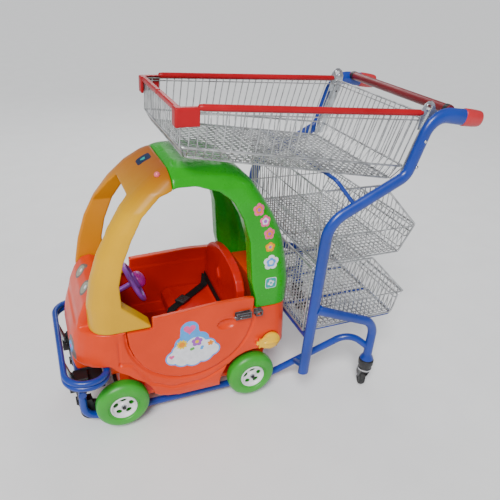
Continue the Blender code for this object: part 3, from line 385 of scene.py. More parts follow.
def plate(name, rim, thickness, look, place, body="trolley", round_edge=0.0, holes=()):
    """A flat outline with some thickness in its own XY plane."""
    curve = bpy.data.curves.new(name, "CURVE")
    curve.dimensions = "2D"
    curve.fill_mode = "BOTH"
    curve.extrude = thickness / 2 - round_edge
    curve.bevel_depth = round_edge
    curve.bevel_resolution = 2
    curve.offset = -round_edge
    for outline in (rim, *holes):
        spline = curve.splines.new("POLY")
        spline.points.add(len(outline) - 1)
        spline.use_cyclic_u = True
        for index, (x, y) in enumerate(outline):
            spline.points[index].co = (x, y, 0.0, 1.0)
    return put(name, curve, look, body, place=place)


def ring_points(radius, steps, centre=(0, 0)):
    return [(centre[0] + radius * x, centre[1] + radius * y) for x, y in around(steps)]


def tool_box(low, high):
    """A block to cut with."""
    low, high = Vector(low), Vector(high)
    bm = bmesh.new()
    bmesh.ops.create_cube(bm, size=1.0)
    bmesh.ops.scale(bm, vec=high - low, verts=bm.verts)
    bmesh.ops.transform(bm, matrix=Matrix.Translation((low + high) / 2), verts=bm.verts)
    return bm


def tool_rod(start, end, radius, sides=24):
    """A round bar to cut or join with."""
    start, end = Vector(start), Vector(end)
    bm = bmesh.new()
    bmesh.ops.create_cone(bm, cap_ends=True, segments=sides, radius1=radius, radius2=radius,
                          depth=(end - start).length)
    turn = (end - start).to_track_quat("Z", "Y").to_matrix().to_4x4()
    bmesh.ops.transform(bm, matrix=Matrix.Translation((start + end) / 2) @ turn, verts=bm.verts)
    return bm


def tool_ball(centre, radii):
    bm = bmesh.new()
    bmesh.ops.create_uvsphere(bm, u_segments=32, v_segments=16, radius=1.0)
    bmesh.ops.transform(bm, matrix=Matrix.Translation(centre) @ Matrix.Diagonal((*radii, 1)), verts=bm.verts)
    return bm


def tool_side(rim, y_low, y_high):
    """A side view, drawn as (x, z) points, made solid between two values of Y."""
    bm = bmesh.new()
    near = [bm.verts.new((x, y_low, z)) for x, z in rim]
    far = [bm.verts.new((x, y_high, z)) for x, z in rim]
    bm.faces.new(near)
    bm.faces.new(list(reversed(far)))
    for i in range(len(rim)):
        j = (i + 1) % len(rim)
        bm.faces.new((near[j], near[i], far[i], far[j]))
    return bm


def moulded(name, base, voxel, passes, look, body, stands_for=(), cuts=(), joins=(), place=None):
    """A solid made even and softened, so that its edges are round as a moulding's are.

    base is a CAD node's name or a bmesh; cuts and joins are bmeshes."""
    if isinstance(base, str):
        mesh = nodes[base].data.copy()
    else:
        mesh = shaded(base, name)
    piece = linked(name, mesh)
    weld = piece.modifiers.new("weld", "WELD")
    weld.merge_threshold = 0.00001
    tools = []
    for operation, group in (("UNION", joins), ("DIFFERENCE", cuts)):
        for bm in group:
            bmesh.ops.recalc_face_normals(bm, faces=bm.faces)
            tool_mesh = bpy.data.meshes.new("tool")
            bm.to_mesh(tool_mesh)
            bm.free()
            tool = linked("tool", tool_mesh)
            step = piece.modifiers.new("shape", "BOOLEAN")
            step.operation = operation
            step.object = tool
            step.solver = "EXACT"
            tools.append(tool)
    even = piece.modifiers.new("even", "REMESH")
    even.mode = "VOXEL"
    even.voxel_size = voxel
    soft = piece.modifiers.new("soft", "SMOOTH")
    soft.factor = 0.5
    soft.iterations = passes
    bpy.context.view_layer.update()
    final = bpy.data.meshes.new_from_object(piece.evaluated_get(bpy.context.evaluated_depsgraph_get()))
    for thing in tools + [piece]:
        bpy.data.objects.remove(thing, do_unlink=True)
    final.shade_smooth()
    final.name = name
    return put(name, final, look, body, stands_for, place)


# ---- baskets ------------------------------------------------------------------------------
def lerp(a, b, share):
    """The value that lies a share of the way from a to b."""
    return a + (b - a) * share


def span_at(outline, x):
    """Lowest and highest z of a side outline at x."""
    heights = []
    for (x0, z0), (x1, z1) in zip(outline, outline[1:] + outline[:1]):
        if min(x0, x1) - 1e-6 <= x <= max(x0, x1) + 1e-6 and abs(x1 - x0) > 1e-6:
            heights.append(lerp(z0, z1, (x - x0) / (x1 - x0)))
    return min(heights), max(heights)


def wires(name, paths, stands_for=(), radius=WIRE_R, resolution=1):
    """Zinc-plated wires of a basket."""
    bar(name, paths, radius, "zinc", stands_for=stands_for, resolution=resolution)


SHELF_PITCH = 0.0185
MIDDLE_OUTLINE = ((0.146, 0.572), (0.4565, 0.572), (0.4914, 0.642), (0.503, 0.667), (0.347, 0.8185),
                  (0.131, 0.8185))
TRAY_OUTLINE = ((0.130, 0.3165), (0.4874, 0.3165), (0.5035, 0.388), (0.522, 0.400), (0.360, 0.560),
                (0.133, 0.560))


def shelf_wires(name, outline, half, mid_z):
    """The wires of a lower basket: hoops across it, wires along it, and its thicker rims.

    The side outline starts with the floor's front and back, goes up the back, and ends at
    the front's top."""
    outline = list(outline)
    front_top, floor_front, floor_back, back_top = outline[-1], outline[0], outline[1], outline[3]
    x_low = min(x for x, _ in outline) + 0.004
    x_high = max(x for x, _ in outline) - 0.004
    hoops, count = [], round((x_high - x_low) / SHELF_PITCH)
    chamfer = 0.010
    for index in range(count + 1):
        x = lerp(x_low, x_high, index / count)
        low, high = span_at(outline, x)
        hoops.append([(x, -half, high), (x, -half, low + chamfer), (x, chamfer - half, low),
                      (x, half - chamfer, low), (x, half, low + chamfer), (x, half, high)])
    floor_z = floor_front[1]
    lengths, across = [], round(2 * half / SHELF_PITCH)
    for index in range(1, across):
        y = lerp(-half, half, index / across)
        path = [(front_top[0], y, front_top[1]), (floor_front[0], y, floor_z + chamfer),
                (floor_front[0] + chamfer, y, floor_z + RIM_R),
                (floor_back[0] - chamfer, y, floor_z + RIM_R),
                (floor_back[0], y, floor_z + chamfer)] + [(x, y, z) for x, z in outline[2:4]]
        lengths.append(path)
    rims = [arc_corners([(x, sign * half, z) for x, z in outline + outline[:2]], [0.010] * len(outline), 4)
            for _, sign in SIDES]
    edges = []
    for x, z in (front_top, floor_front, floor_back, outline[2], back_top):
        edges.append([(x, -half, z), (x, half, z)])
    slope_x = [x for x, z in outline if z < mid_z][-1]
    start_x = lerp(floor_front[0], front_top[0], (mid_z - floor_z) / (front_top[1] - floor_z))
    end_x = max(back_top[0], slope_x)
    mids = [[(start_x, sign * half, mid_z), (end_x, sign * half, mid_z)] for _, sign in SIDES]
    mids.append([(start_x, -half, mid_z), (start_x, half, mid_z)])
    walls = [f"{name}_basket_{wall}" for wall in ("floor", "left", "right", "front", "back")]
    wires(f"{name}_basket_hoops", hoops, walls[:3])
    wires(f"{name}_basket_lengths", lengths, walls[3:])
    wires(f"{name}_basket_rims", rims + edges, radius=RIM_R, resolution=2)
    wires(f"{name}_basket_mid_wires", mids, radius=WIRE_R * 1.15)


TOP_FLOOR = ((-0.280, 0.931), (0.400, 0.826))
TOP_RIM = ((-0.276, 1.055), (0.459, 1.026))
TOP_HALF = (0.203, 0.252)
LOW_RIM_RISE, CORNER_IN = 0.028, 0.016
FLOOR_ENDS = (0.024, 0.978)             # where the floor's wires start and end, as shares of its length


def top_half(x):
    """Half of the top basket's width at x."""
    share = (x - TOP_FLOOR[0][0]) / (TOP_FLOOR[1][0] - TOP_FLOOR[0][0])
    return lerp(*TOP_HALF, share)


def top_point(along, rise):
    """x and z in the top basket: along runs from its front to its back, rise from floor to rim."""
    low = [lerp(TOP_FLOOR[0][i], TOP_FLOOR[1][i], along) for i in (0, 1)]
    high = [lerp(TOP_RIM[0][i], TOP_RIM[1][i], along) for i in (0, 1)]
    return lerp(low[0], high[0], rise), lerp(low[1], high[1], rise)


def top_basket():
    """Welded wires: hoops across, wires along, a dense floor, and three rims."""
    hoops, floor_wires = [], []
    count = 30
    low_share = LOW_RIM_RISE / (TOP_RIM[0][1] - TOP_FLOOR[0][1])
    for index in range(count + 1):
        along = index / count
        (xt, zt), (xl, zl), (xf, zf) = (top_point(along, rise) for rise in (1.0, low_share, 0.0))
        yt, yl = top_half(xt), top_half(xl)
        xf, zf = top_point(min(max(along, FLOOR_ENDS[0]), FLOOR_ENDS[1]), 0.0)
        yf = top_half(xf) - CORNER_IN
        hoops.append([(xt, -yt, zt), (xl, -yl, zl), (xf, -yf, zf), (xf, yf, zf), (xl, yl, zl), (xt, yt, zt)])
    for index in range(count):
        xf, zf = top_point(lerp(*FLOOR_ENDS, (index + 0.5) / count), 0.0)
        yf = top_half(xf) - CORNER_IN
        floor_wires.append([(xf, -yf, zf), (xf, yf, zf)])
    lengths, across = [], 20
    for index in range(1, across):
        share = lerp(-1, 1, index / across)
        path = []
        for along, rise, pull in ((0, 1, 0), (0, low_share, 0), (FLOOR_ENDS[0], 0, 1), (FLOOR_ENDS[1], 0, 1),
                                  (1, low_share, 0), (1, 1, 0)):
            x, z = top_point(along, rise)
            path.append((x, share * (top_half(x) - CORNER_IN * pull * 0.5), z + (WIRE_R * 2 if pull else 0)))
        lengths.append(path)

    def loop(rise, pull, grow=0.0):
        low, high = FLOOR_ENDS if pull else (0.0, 1.0)
        (x0, z0), (x1, z1) = top_point(low, rise), top_point(high, rise)
        y0, y1 = top_half(x0) - CORNER_IN * pull + grow, top_half(x1) - CORNER_IN * pull + grow
        corners = [(x0, 0, z0), (x0, -y0, z0), (x1, -y1, z1), (x1, y1, z1), (x0, y0, z0), (x0, 0, z0)]
        return arc_corners(corners, [CORNER_IN] * 4, 5)

    stands_for = [f"top_basket_{wall}" for wall in ("floor", "left", "right", "front", "back")]
    wires("top_basket_hoops", hoops, stands_for[1:3])
    wires("top_basket_floor_wires", floor_wires, stands_for[:1])
    wires("top_basket_lengths", lengths, stands_for[3:])
    rims = [loop(1.0, 0), loop(low_share, 0, WIRE_R), loop(0.0, 1)]
    wires("top_basket_rims", rims, radius=RIM_R, resolution=3)
    wires("top_basket_upper_wire", [loop(0.93, 0, WIRE_R)])


def basket_trim():
    """Red rail covers and corner guards, the bracket plates and their hook loops."""
    (front_x, front_z), (back_x, back_z) = TOP_RIM
    slope = (back_z - front_z) / (back_x - front_x)
    cover_overlap, cover_rise = 0.0160, 0.0075
    for side, sign in SIDES:
        low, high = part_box(f"rim_cover_{side}")
        low.x -= cover_overlap
        ends = [Vector((x, sign * top_half(x), slope * (x - front_x) + front_z + cover_rise))
                for x in (low.x, high.x)]
        points = [ends[0].lerp(ends[1], share) for share in (0, 0.004, 0.02, 0.98, 0.996, 1)]
        bar(f"rim_cover_{side}_sleeve", [points], 0.0093, "red",
            stands_for=[f"rim_cover_{side}"], radii=[0.55, 0.85, 1, 1, 0.85, 0.55], resolution=6)
        moulded(f"corner_guard_{side}_moulding", f"corner_guard_{side}", 0.0022, 26, "red", "trolley",
                [f"corner_guard_{side}"])
        nodes[f"basket_bracket_{side}"].data.materials[0] = FINISH["galvanised"]
        y, hook = sign * 0.2585, (0.456, 1.050)
        tab = [(0.430, 0.985), (0.476, 0.985), (0.482, 1.020), (0.481, 1.046), (0.474, 1.060),
               (0.462, 1.068), (0.449, 1.068), (0.438, 1.060), (0.431, 1.046)]
        plate(f"hook_plate_{side}", tab, 0.0022, "galvanised", Matrix.Translation((0, y, 0)) @ UPRIGHT,
              round_edge=0.0006, holes=[ring_points(0.0085, 20, hook)])
        ring = [Vector((x, y, z)) for x, z in ring_points(0.0105, 28, hook)]
        bar(f"hook_ring_{side}", [ring], 0.0026, "chrome", closed=True)
        for number, (x, z) in enumerate(((0.409, 0.850), (0.433, 0.915), (0.462, 0.985))):
            dome(f"bracket_bolt_{side}_{number}", (x, sign * 0.2592, z), (0, -sign, 0), 0.0045, 0.0030,
                 "black")


# ---- frame --------------------------------------------------------------------------------
def side_tube_path(y):
    """The side tube's middle line, from its foot to the handle."""
    corners = [(0.141, y, 0.148), (0.156, y, 0.722), (0.407, y, 0.851), (0.459, y, 1.036),
               (0.571, y, 1.0227)]
    return arc_corners(corners, (0.093, 0.05, 0.07), 12)


def dome(name, centre, direction, radius, height, look, body="trolley"):
    """A low round head, such as a bolt's or a rivet's, standing on a surface."""
    turn = Vector(direction).to_track_quat("Z", "Y").to_matrix().to_4x4()
    turn.translation = Vector(centre)
    profile = [(0, height)] + [(radius * math.sin(a), height * math.cos(a))
                               for a in (0.3, 0.6, 0.9, 1.2, 1.45, 1.57)] + [(radius, -0.001), (0, -0.001)]
    return turned(name, profile, turn, look, body, steps=24)


def frame_parts():
    """Tubes with smooth bends, weld beads, bolts, end caps and the push bar."""
    for side, sign in SIDES:
        y = sign * TUBE_Y
        path = side_tube_path(y)
        swell = [1 + 0.29 * min(1, max(0, (p.x - 0.44) / 0.1)) for p in path]
        bar(f"side_tube_{side}_bend", [path], 0.019, "blue",
            stands_for=[f"side_tube_{side}"], flat=TUBE_FLAT, radii=swell, resolution=10)
        end, tip = Vector((0.5713, y, 1.0227)), Vector((0.6404, y, 1.014))
        shares = (0.0, 0.02, 0.05, 0.30, 0.60, 0.82, 0.92, 0.97, 0.99, 1.0)
        bar(f"handle_cap_{side}_moulding", [[end.lerp(tip, t) for t in shares]], 0.019, "cap_red",
            stands_for=[f"handle_cap_{side}"], flat=TUBE_FLAT,
            radii=[1.30, 1.38, 1.40, 1.40, 1.37, 1.31, 1.27, 1.20, 1.12, 0.95], resolution=10)
        leg = arc_corners([(0.158, y, 0.408), (0.407, sign * 0.280, 0.301), (0.407, sign * 0.280, 0.1398)],
                          (0.077,), 12)
        bar(f"caster_leg_{side}_bend", [leg], 0.016, "blue", stands_for=[f"caster_leg_{side}"],
            resolution=8)
        rail = arc_corners([(CROSS_X, sign * 0.137, 0.1393), (CROSS_X, sign * 0.137, 0.036),
                            (0.085, sign * 0.137, 0.036), (0.335, sign * 0.243, 0.245),
                            (0.411, sign * 0.2765, 0.184)], (0.05, 0.10, 0.07), 10)
        bar(f"base_rail_{side}_bend", [rail], 0.0125, "blue", stands_for=[f"base_rail_{side}"],
            resolution=8)
        stub = [(0.168, sign * 0.172, 0.105), (0.1435, sign * 0.2795, 0.171)]
        bar(f"rail_stub_{side}", [stub], 0.011, "blue", resolution=6)
        weld_beads(side, sign)
        for number, (x, z) in enumerate(((0.440, 0.959), (0.429, 0.880))):
            dome(f"tube_bolt_{side}_{number}", (x, sign * 0.2938, z), (0, sign, 0), 0.0055, 0.0035, "chrome")
        plug_y = sign * (TUBE_Y + 0.0002)
        turn = Matrix.Translation((0.1405, plug_y, 0.1475)) @ Matrix.Rotation(math.pi, 4, "X")
        plug = [(0, 0.003), (0.008, 0.003), (0.0115, 0.0015), (0.0125, 0), (0, 0)]
        turned(f"tube_plug_{side}", plug, turn, "black", "trolley", steps=32)
    front, back = TRAY_X
    tray = arc_corners([(front, -TRAY_HALF, TRAY_Z), (back, -TRAY_HALF, TRAY_Z), (back, TRAY_HALF, TRAY_Z),
                        (front, TRAY_HALF, TRAY_Z)], (0.02, 0.02), 6)
    runners = [[(x, y, TRAY_Z) for x in TRAY_X] for y in (-0.086, 0.086)]
    bar("tray_frame_crossbar", [[(front, y, 0.299) for y in (-0.268, 0.268)]], 0.0125, "blue",
        stands_for=["tray_frame"], resolution=8)
    bar("tray_frame_bars", [tray] + runners, 0.0055, "blue", resolution=4)
    hoop = arc_corners([(0.240, -0.2795, 0.770), (0.172, -0.262, 0.851), (0.172, 0.262, 0.851),
                        (0.240, 0.2795, 0.770)], (0.02, 0.02), 8)
    bar("support_hoop_bend", [hoop], 0.006, "blue", stands_for=["basket_support_hoop"],
        resolution=4)
    bar("push_bar_sleeve", [[(PUSH_X, y, PUSH_Z) for y in (-0.268, 0.268)]], 0.0145, "maroon",
        stands_for=["handle_bar"], resolution=10)
    collars = [[(PUSH_X, sign * y, PUSH_Z) for y in (0.248, 0.262)] for _, sign in SIDES]
    bar("push_bar_collars", collars, 0.0158, "black", resolution=8)


def bead(centre, across, along, radius_a, radius_b, steps=28):
    """A closed oval of points round a joint."""
    return [Vector(centre) + Vector(across) * radius_a * x + Vector(along) * radius_b * y
            for x, y in around(steps)]


def weld_beads(side, sign):
    """Rings of weld where the leg meets the side tube and the rail meets the leg."""
    y = sign * 0.280
    rings = [bead((0.1675, y, 0.404), (0, 1, 0), (0.40, 0, 0.92), 0.0132, 0.0172),
             bead((0.3975, sign * 0.2705, 0.1955), (0.35, 0.94, 0), (-0.55, -0.24, 0.80), 0.011, 0.0135)]
    bar(f"weld_beads_{side}", rings, 0.0022, "blue", resolution=2, closed=True)


def front_end():
    """The front cross tube, its fixed casters' housings, and the double bumper bar."""
    arm_x, arm_y, front_x, side_y = -0.506, 0.150, -0.6315, 0.2265
    for number, z in enumerate(BUMPER_Z):
        loop = [(arm_x, -arm_y, z), (arm_x, -side_y, z), (front_x, -side_y, z), (front_x, side_y, z),
                (arm_x, side_y, z), (arm_x, arm_y, z)]
        bar(f"bumper_bar_{number}", [arc_corners(loop, (0.055, 0.065, 0.065, 0.055), 14)], 0.0096,
            "blue", stands_for=["front_bumper"] if number == 0 else (), resolution=8)
    links = [[(arm_x, sign * (arm_y + 0.005), z) for z in BUMPER_Z] for _, sign in SIDES]
    bar("bumper_end_links", links, 0.0060, "blue", resolution=4)
    posts = [[(front_x, sign * CASTER_Y, BUMPER_Z[1]), (front_x + 0.028, sign * CASTER_Y, 0.1645)]
             for _, sign in SIDES]
    bar("bumper_posts", posts, 0.0080, "galvanised", resolution=5)
    bar("front_cross_tube", [[(CROSS_X, y, 0.152) for y in (-0.158, 0.158)]], 0.0125, "blue",
        stands_for=["front_crossbar"], resolution=8)
    for side, sign in SIDES:
        place = Matrix.Translation((CROSS_X, sign * CASTER_Y, 0))
        caster_housing(f"front_caster_{side}", place, "trolley", 0.0172, 0.1405, ())
        caster_wheel(f"front_caster_{side}", place, f"front_roller_{side}", [f"front_caster_wheel_{side}"])
        low_y, high_y = sorted((sign * 0.068, sign * 0.150))
        # Black covers over the front casters, drawn wider than the casters need so that they also put
        # painted shade into the gap between the bumper and the car's nose.
        cover_and_shade = tool_box((-0.620, low_y, 0.164), (-0.512, high_y, 0.182))
        crown = tool_box((-0.604, low_y + 0.016, 0.180), (-0.560, high_y - 0.016, 0.200))
        moulded(f"front_caster_cover_{side}", cover_and_shade, 0.0016, 7, "black", "trolley", joins=[crown])
        for number, y in enumerate((low_y + 0.010, high_y - 0.010)):
            dome(f"cover_screw_{side}_{number}", (-0.6195, y, 0.173), (-1, 0, 0), 0.0050, 0.0030, "chrome")


# ---- casters ------------------------------------------------------------------------------
def caster_housing(name, place, body, collar_r, top, stands_for):
    """A fork with a turned collar, a bright ring under it, a folded crown, cheeks and an axle bolt."""
    collar = [(0, top), (collar_r * 0.80, top), (collar_r, top - 0.004), (collar_r, top - 0.022),
              (collar_r * 0.90, top - 0.028), (collar_r * 0.84, 0.098), (collar_r * 0.84, 0.090), (0, 0.090)]
    turned(f"{name}_collar", collar, place, "black", body, stands_for, steps=48)
    ring = [(collar_r * 0.70, 0.0985), (collar_r * 0.93, 0.0985), (collar_r * 0.95, 0.0955),
            (collar_r * 0.93, 0.0925), (collar_r * 0.70, 0.0925)]
    turned(f"{name}_ring", ring, place, "chrome", body, steps=48)
    fork = tool_box((-0.020, -FORK_HALF, 0.082), (0.030, FORK_HALF, 0.0935))
    cheek = [(-0.019, 0.090), (0.029, 0.090), (0.036, 0.062), (0.040, 0.046), (0.038, 0.030),
             (0.028, 0.0265), (0.018, 0.030), (-0.008, 0.062)]
    joins = [tool_side(cheek, sign * CHEEK_Y - CHEEK / 2, sign * CHEEK_Y + CHEEK / 2) for _, sign in SIDES]
    moulded(f"{name}_fork", fork, 0.0009, 3, "black", body, joins=joins, place=place)
    for side, sign in SIDES:
        head = place @ Vector((AXLE_BACK, sign * FORK_HALF, AXLE_Z))
        out = place.to_3x3() @ Vector((0, sign, 0))
        dome(f"{name}_axle_head_{side}", head, out, 0.0062, 0.0036, "chrome", body)


def caster_wheel(name, place, body, stands_for):
    """A rubber tread on a black core, turned round its axle."""
    turn = place @ Matrix.Translation((AXLE_BACK, 0, AXLE_Z)) @ UPRIGHT
    tread = [(0.026, 0.0095)] + [(0.0335 + 0.0045 * math.sin(a), 0.0108 * math.cos(a))
                                 for a in (math.pi * i / 12 for i in range(13))] + [(0.026, -0.0095)]
    turned(f"{name}_tread", tread, turn, "rubber", body, stands_for)
    core = [(0.0043, 0.0105), (0.010, 0.0105), (0.0125, 0.0075), (0.024, 0.0070), (0.0262, 0.0092),
            (0.0262, -0.0092), (0.024, -0.0070), (0.0125, -0.0075), (0.010, -0.0105), (0.0043, -0.0105)]
    turned(f"{name}_core", core, turn, "black", body)


def joint_of(child):
    """The joint that moves a body."""
    return next(joint for joint in frame["joints"] if joint["child"] == child)


def rear_casters():
    """The two swivel casters, set by their joints, and the flared foot of each leg."""
    for side, _ in SIDES:
        swivel, roller = joint_of(f"caster_swivel_{side}"), joint_of(f"caster_roller_{side}")
        x, y = swivel["pos_m"][0], swivel["pos_m"][1]
        yaw = math.atan2(roller["pos_m"][1] - y, roller["pos_m"][0] - x)
        place = Matrix.Translation((x, y, 0)) @ Matrix.Rotation(yaw, 4, "Z")
        caster_housing(f"rear_caster_{side}", place, f"caster_swivel_{side}", 0.0275, 0.1385,
                       [f"caster_fork_{side}"])
        caster_wheel(f"rear_caster_{side}", place, f"caster_roller_{side}", [f"caster_wheel_{side}"])
        flare = [(0.0162, 0.162), (0.0175, 0.156), (0.0235, 0.146), (0.0245, 0.1405), (0.0162, 0.1405)]
        turned(f"leg_flare_{side}", flare, Matrix.Translation((x, y, 0)), "blue", "trolley", steps=48)


# ---- toy car ------------------------------------------------------------------------------
WHEEL_R, HUB_R, WHEEL_HALF = 0.086, 0.0440, 0.027
TREAD_R, TREAD_HALF = 0.0610, 0.006     # where the tyre's round shoulder starts, and the flat of its tread
HUB_HOLES = 5


def tyre_profile():
    """The tyre's section from its outer bead, round a groove and over the tread, to its inner bead."""
    outer = [(HUB_R + 0.0003, WHEEL_HALF - 0.0040), (HUB_R + 0.0020, WHEEL_HALF - 0.0022),
             (HUB_R + 0.0050, WHEEL_HALF - 0.0012), (HUB_R + 0.0062, WHEEL_HALF - 0.0022),
             (HUB_R + 0.0074, WHEEL_HALF - 0.0008), (0.0600, WHEEL_HALF)]
    for step in range(1, 10):
        angle = math.pi / 2 * step / 10
        outer.append((TREAD_R + (WHEEL_R - TREAD_R) * math.sin(angle),
                      TREAD_HALF + (WHEEL_HALF - TREAD_HALF) * math.cos(angle)))
    outer.append((WHEEL_R, TREAD_HALF))
    return outer + [(radius, -height) for radius, height in reversed(outer)]


def toy_wheels():
    """Green tyres on dished white hubs, each with five oval holes, a green shade behind them and a nut."""
    face = WHEEL_HALF
    hole_from_axle, hole_radii = 0.0262, (0.0078, 0.0104)
    hub = [(0.0, 0.0115), (HUB_R - 0.002, 0.0115), (HUB_R - 0.0004, 0.0125), (HUB_R - 0.0004, face - 0.0040),
           (HUB_R - 0.0022, face - 0.0006), (HUB_R - 0.0048, face - 0.0008), (HUB_R - 0.0070, face - 0.0052),
           (0.0340, face - 0.0100), (0.0190, face - 0.0115), (0.0155, face - 0.0100),
           (0.0130, face - 0.0062), (0.0, face - 0.0058)]
    nut = [(0, 0.0068), (0.0035, 0.0066), (0.0046, 0.0056), (0.0050, 0.0034), (0.0084, 0.0032),
           (0.0092, 0.0020), (0.0092, -0.0005), (0, -0.0005)]
    for end in ("front", "rear"):
        for side, sign in SIDES:
            low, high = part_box(f"{end}_tyre_{side}")
            place = Matrix.Translation((low + high) / 2) @ Matrix.Rotation(-sign * math.pi / 2, 4, "X")
            body = f"{end}_toy_wheel_{side}"
            turned(f"{end}_tyre_{side}_moulding", tyre_profile(), place, "tyre", body,
                   [f"{end}_tyre_{side}"], steps=96)
            holes = []
            for number in range(HUB_HOLES):
                hole = bmesh.new()
                bmesh.ops.create_cone(hole, cap_ends=True, segments=24, radius1=1, radius2=1, depth=0.070)
                shape = (Matrix.Rotation(2 * math.pi * (number + 0.25) / HUB_HOLES, 4, "Z")
                         @ Matrix.Translation((hole_from_axle, 0, face - 0.020))
                         @ Matrix.Diagonal((*hole_radii, 1, 1)))
                bmesh.ops.transform(hole, matrix=shape, verts=hole.verts)
                holes.append(hole)
            moulded(f"{end}_hub_{side}_moulding", spin(hub, 64), 0.0011, 2, "white", body,
                    [f"{end}_hub_{side}"], cuts=holes, place=place)
            shade = [(0, 0.001), (0.0425, 0.001), (0.0425, 0.003), (0, 0.003)]
            turned(f"{end}_hub_shade_{side}", shade, place, "tyre", body, steps=32)
            turned(f"{end}_axle_nut_{side}", nut, place @ Matrix.Translation((0, 0, face - 0.0060)),
                   "galvanised", body, steps=32)


def press(piece, sign, path, half_width, depth):
    """Presses a soft groove into the side of a moulding, along a path given as x and z."""
    runs = [(Vector(a), Vector(b)) for a, b in zip(path, path[1:])]
    lows = [min(p[axis] for p in path) - half_width for axis in (0, 1)]
    highs = [max(p[axis] for p in path) + half_width for axis in (0, 1)]
    for vertex in piece.data.vertices:
        x, y, z = vertex.co
        if y * sign < BODY_SIDE_Y or not (lows[0] < x < highs[0] and lows[1] < z < highs[1]):
            continue
        spot = Vector((x, z))
        near = half_width
        for a, b in runs:
            share = min(1.0, max(0.0, (spot - a).dot(b - a) / (b - a).length_squared))
            near = min(near, (spot - a.lerp(b, share)).length)
        vertex.co.y -= sign * depth * (0.5 + 0.5 * math.cos(math.pi * near / half_width))


def slim(piece, most):
    """Brings a piece down to a number of triangles."""
    step = piece.modifiers.new("slim", "DECIMATE")
    step.ratio = most / sum(len(face.vertices) - 2 for face in piece.data.polygons)
    mesh = bpy.data.meshes.new_from_object(piece.evaluated_get(bpy.context.evaluated_depsgraph_get()))
    piece.modifiers.clear()
    mesh.shade_smooth()
    piece.data = mesh


def car_shell():
    """Body, door and canopy as rounded mouldings with their panel lines."""
    body = moulded("car_body_moulding", "car_body", 0.0025, 7, "orange", "trolley",
                   ["car_body"])
    nose = body.vertex_groups.new(name="nose")
    nose.add([v.index for v in body.data.vertices
              if (v.co.z > 0.36 and v.co.x < -0.45) or v.co.x < -0.50], 1.0, "REPLACE")
    soft = body.modifiers.new("soft_nose", "SMOOTH")
    soft.iterations, soft.vertex_group = 40, "nose"
    line = ((-0.466, 0.275), (-0.430, 0.266), (-0.372, 0.172), (-0.300, 0.132), (-0.190, 0.134),
            (-0.110, 0.176))
    shoulder = [(p.x, p.z) for p in arc_corners([(x, 0, z) for x, z in line], (0.03, 0.03, 0.05, 0.06), 6)]
    for _, sign in SIDES:
        press(body, sign, shoulder, 0.0090, 0.0050)
        press(body, sign, [(-0.4670, 0.402), (-0.4660, 0.270)], 0.0065, 0.0040)
    arc = [(-0.235 + 0.2100 * math.cos(a), 0.385 + 0.2140 * math.sin(a))
           for a in (math.pi * (1.0 + i / 28) for i in range(29))]
    press(body, -1, arc, 0.0110, 0.0065)
    slim(body, MOST_TRIANGLES)
    fill = tool_rod((-0.121, -0.1990, 0.355), (-0.121, -0.188, 0.355), 0.0315)
    dimple = tool_ball((-0.122, -0.2045, 0.358), (0.0350, 0.0175, 0.0215))
    lip = tool_ball((-0.121, -0.1925, 0.356), (0.0430, 0.0105, 0.0290))
    moulded("door_moulding", "door", 0.0018, 5, "orange", "car_door", ["door"],
            joins=[fill, lip], cuts=[dimple])
    creases = [tool_rod((-0.444, sign * 0.1990, 0.500), (-0.464, sign * 0.1990, 0.385), 0.0042)
               for _, sign in SIDES]
    moulded("windshield_frame_moulding", "windshield_frame", 0.0028, 16, "yellow", "trolley",
            ["windshield_frame"], cuts=creases)
    moulded("roof_moulding", "roof", 0.0030, 24, "green", "trolley", ["roof"])
    dome("roof_knob", (-0.320, -0.120, 0.858), (-0.3, -0.55, 0.78), 0.0085, 0.0085, "pink")


